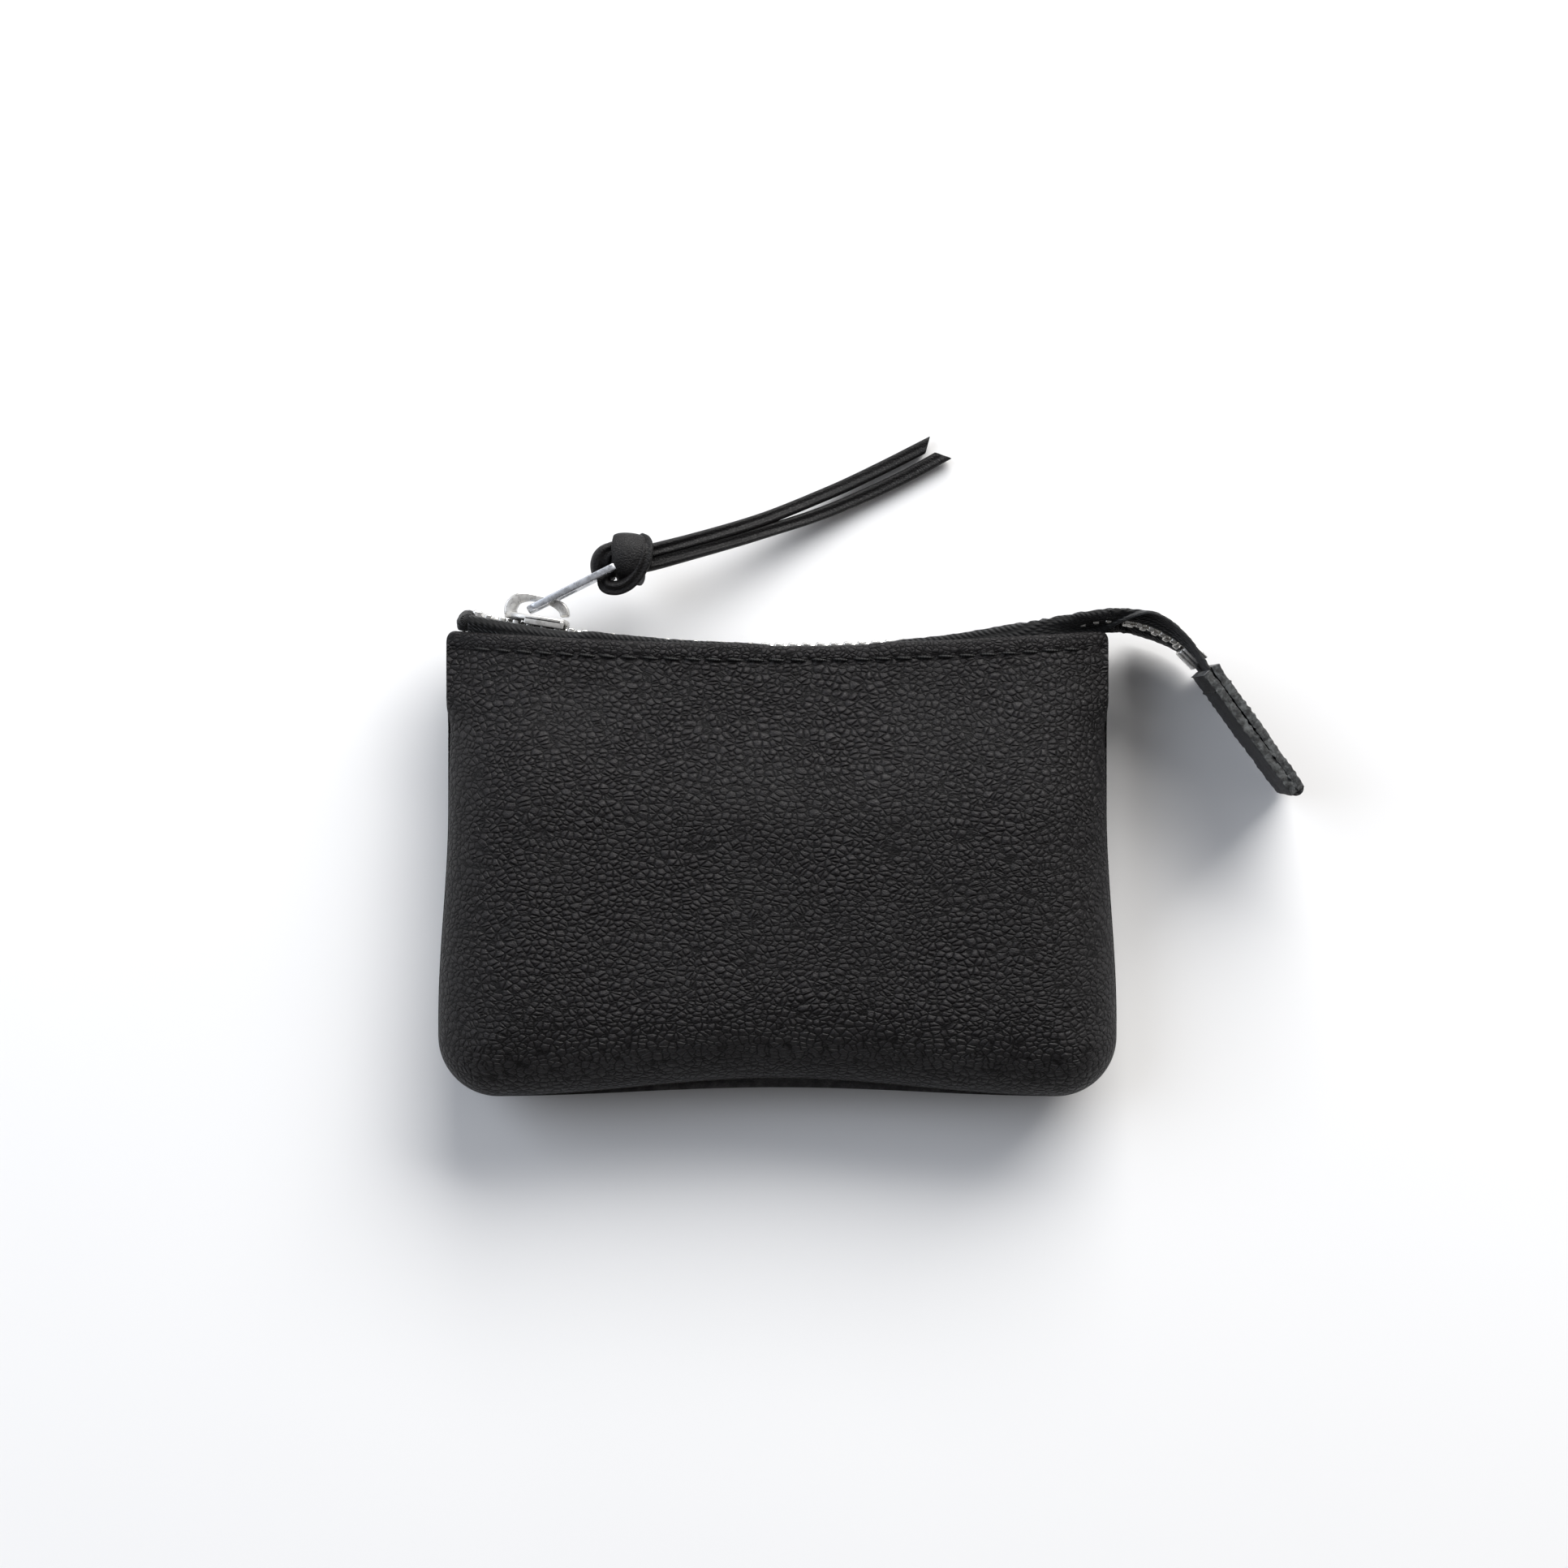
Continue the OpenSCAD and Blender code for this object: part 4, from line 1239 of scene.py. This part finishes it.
def tab_layers():
    """Middle lines of the two layers, as (run, n), parted by the tape at the grip and meeting further on."""
    upper = [(1.0, 0.14), (2.2, -0.1), (5, -0.16), (TAB_GRIP, -0.13), (14, -0.1), (20, -0.22),
             (24, -0.22), (TAB_L, -0.26)]
    lower = [(1.2, -1.98), (2.4, -1.86), (5, -1.82), (TAB_GRIP, -1.84), (14, -1.84), (20, -1.74),
             (24, -1.76), (TAB_L, -1.74)]
    return upper, lower


def tab_layer(name, line, seed):
    """One layer of the folded strip: pebbled faces, raw fibrous edges, slightly waved."""
    path = smooth_route([(r, n, 0) for r, n in line], 90)
    along = directions(path)
    rim_steps = [0.92, 0.96, 0.985, 1]
    widths = np.concatenate([[-w for w in reversed(rim_steps)], np.linspace(-0.85, 0.85, 19), rim_steps])
    verts, faces, slots = [], [], []
    for face in (1, -1):
        for i, (p, d) in enumerate(zip(path, along)):
            for w in widths:
                run, n = p[0] - d[1] * face * TAB_LAYER / 2, p[1] + d[0] * face * TAB_LAYER / 2
                rim = max(0.0, (abs(w) - 0.9) / 0.1)
                wave = 0.12 * noise.noise(Vector((run / 6 + seed, w * 2, seed)))
                wave += 0.24 * rim * noise.noise(Vector((run / 0.7, seed + face, w)))
                edge = 0.5 * rim * noise.noise(Vector((run / 0.8, seed + face * 0.6, w)))
                x, y = tab_spot(run, n + wave + TAB_TWIST * w * TAB_HALF)
                half = TAB_HALF - 0.7 * max(0.0, (run - TAB_L + 3) / 3) ** 2
                verts.append((x, y, MID_Z + w * half + edge))
    wide, count = len(widths), len(path)
    back = wide * count
    for i in range(count - 1):
        for k in range(wide - 1):
            a = i * wide + k
            faces.append((a, a + 1, a + wide + 1, a + wide))
            faces.append((back + a + wide, back + a + wide + 1, back + a + 1, back + a))
            slots += [0, 0]
        for k in (0, wide - 1):
            a = i * wide + k
            faces.append((a, a + wide, back + a + wide, back + a))
            slots.append(1)
    for i in (0, count - 1):
        for k in range(wide - 1):
            a = i * wide + k
            faces.append((a, a + 1, back + a + 1, back + a))
            slots.append(1)
    obj = make(name, verts, faces, [TAB, RAW_EDGE])
    obj.data.polygons.foreach_set("material_index", slots[:len(obj.data.polygons)])
    face_out(obj)
    bevel(obj, 0.18, 2, 50)
    return obj


def add_tab():
    upper, lower = tab_layers()
    path = smooth_route([(TAB_L - 0.7, -0.36, 0), (TAB_L - 0.25, -0.5, 0), (TAB_L - 0.05, -1.0, 0),
                         (TAB_L - 0.25, -1.5, 0), (TAB_L - 0.7, -1.64, 0)], 12)
    rings = []
    for p, d in zip(path, directions(path)):
        out = np.array([-d[1], d[0]])
        ring = []
        for s, w in ((0.5, 1), (0.5, -1), (-0.5, -1), (-0.5, 1)):
            z = w * (TAB_HALF - 0.75)
            x, y = tab_spot(p[0] + out[0] * s * TAB_LAYER, p[1] + out[1] * s * TAB_LAYER + TAB_TWIST * z)
            ring.append((x, y, MID_Z + z))
        rings.append(ring)
    fold = sweep("tab_fold", rings, TAB)
    bevel(fold, 0.2, 2, 60)
    layers = [tab_layer("tab_upper", upper, 1.0), tab_layer("tab_lower", lower, 5.0)]
    tab = join("tail_tab_leather", layers + [fold])
    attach(tab, "tail")
    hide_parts("tail_tab")
    paths = []
    turn = zip_place(ARC_END_X + TAIL_BEND_L)[2]
    for face, n in ((1, 0.6), (-1, -2.58)):
        for k in range(6):
            z = np.linspace(-1.4, 1.4, 7) + (k - 2.5) * 3.6
            arch = face * (0.18 * np.sin(np.linspace(0, np.pi, 7)) - 0.05)
            spots = [tab_spot(5.0, n + a + TAB_TWIST * q) for a, q in zip(arch, z)]
            paths.append([(x, y, MID_Z + q) for (x, y), q in zip(spots, z)])
    row = stitch_row("tail_tab_thread", paths, "tail_tab_stitch", (-math.sin(turn), math.cos(turn), 0))
    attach(row, "tail")


add_camera()
add_lace()
add_panels()
add_lip_stitches()
add_zip()
add_stops()
add_slider()
add_pull()
add_knot()
add_tail_tape()
add_tab()
add_table()
add_lights()
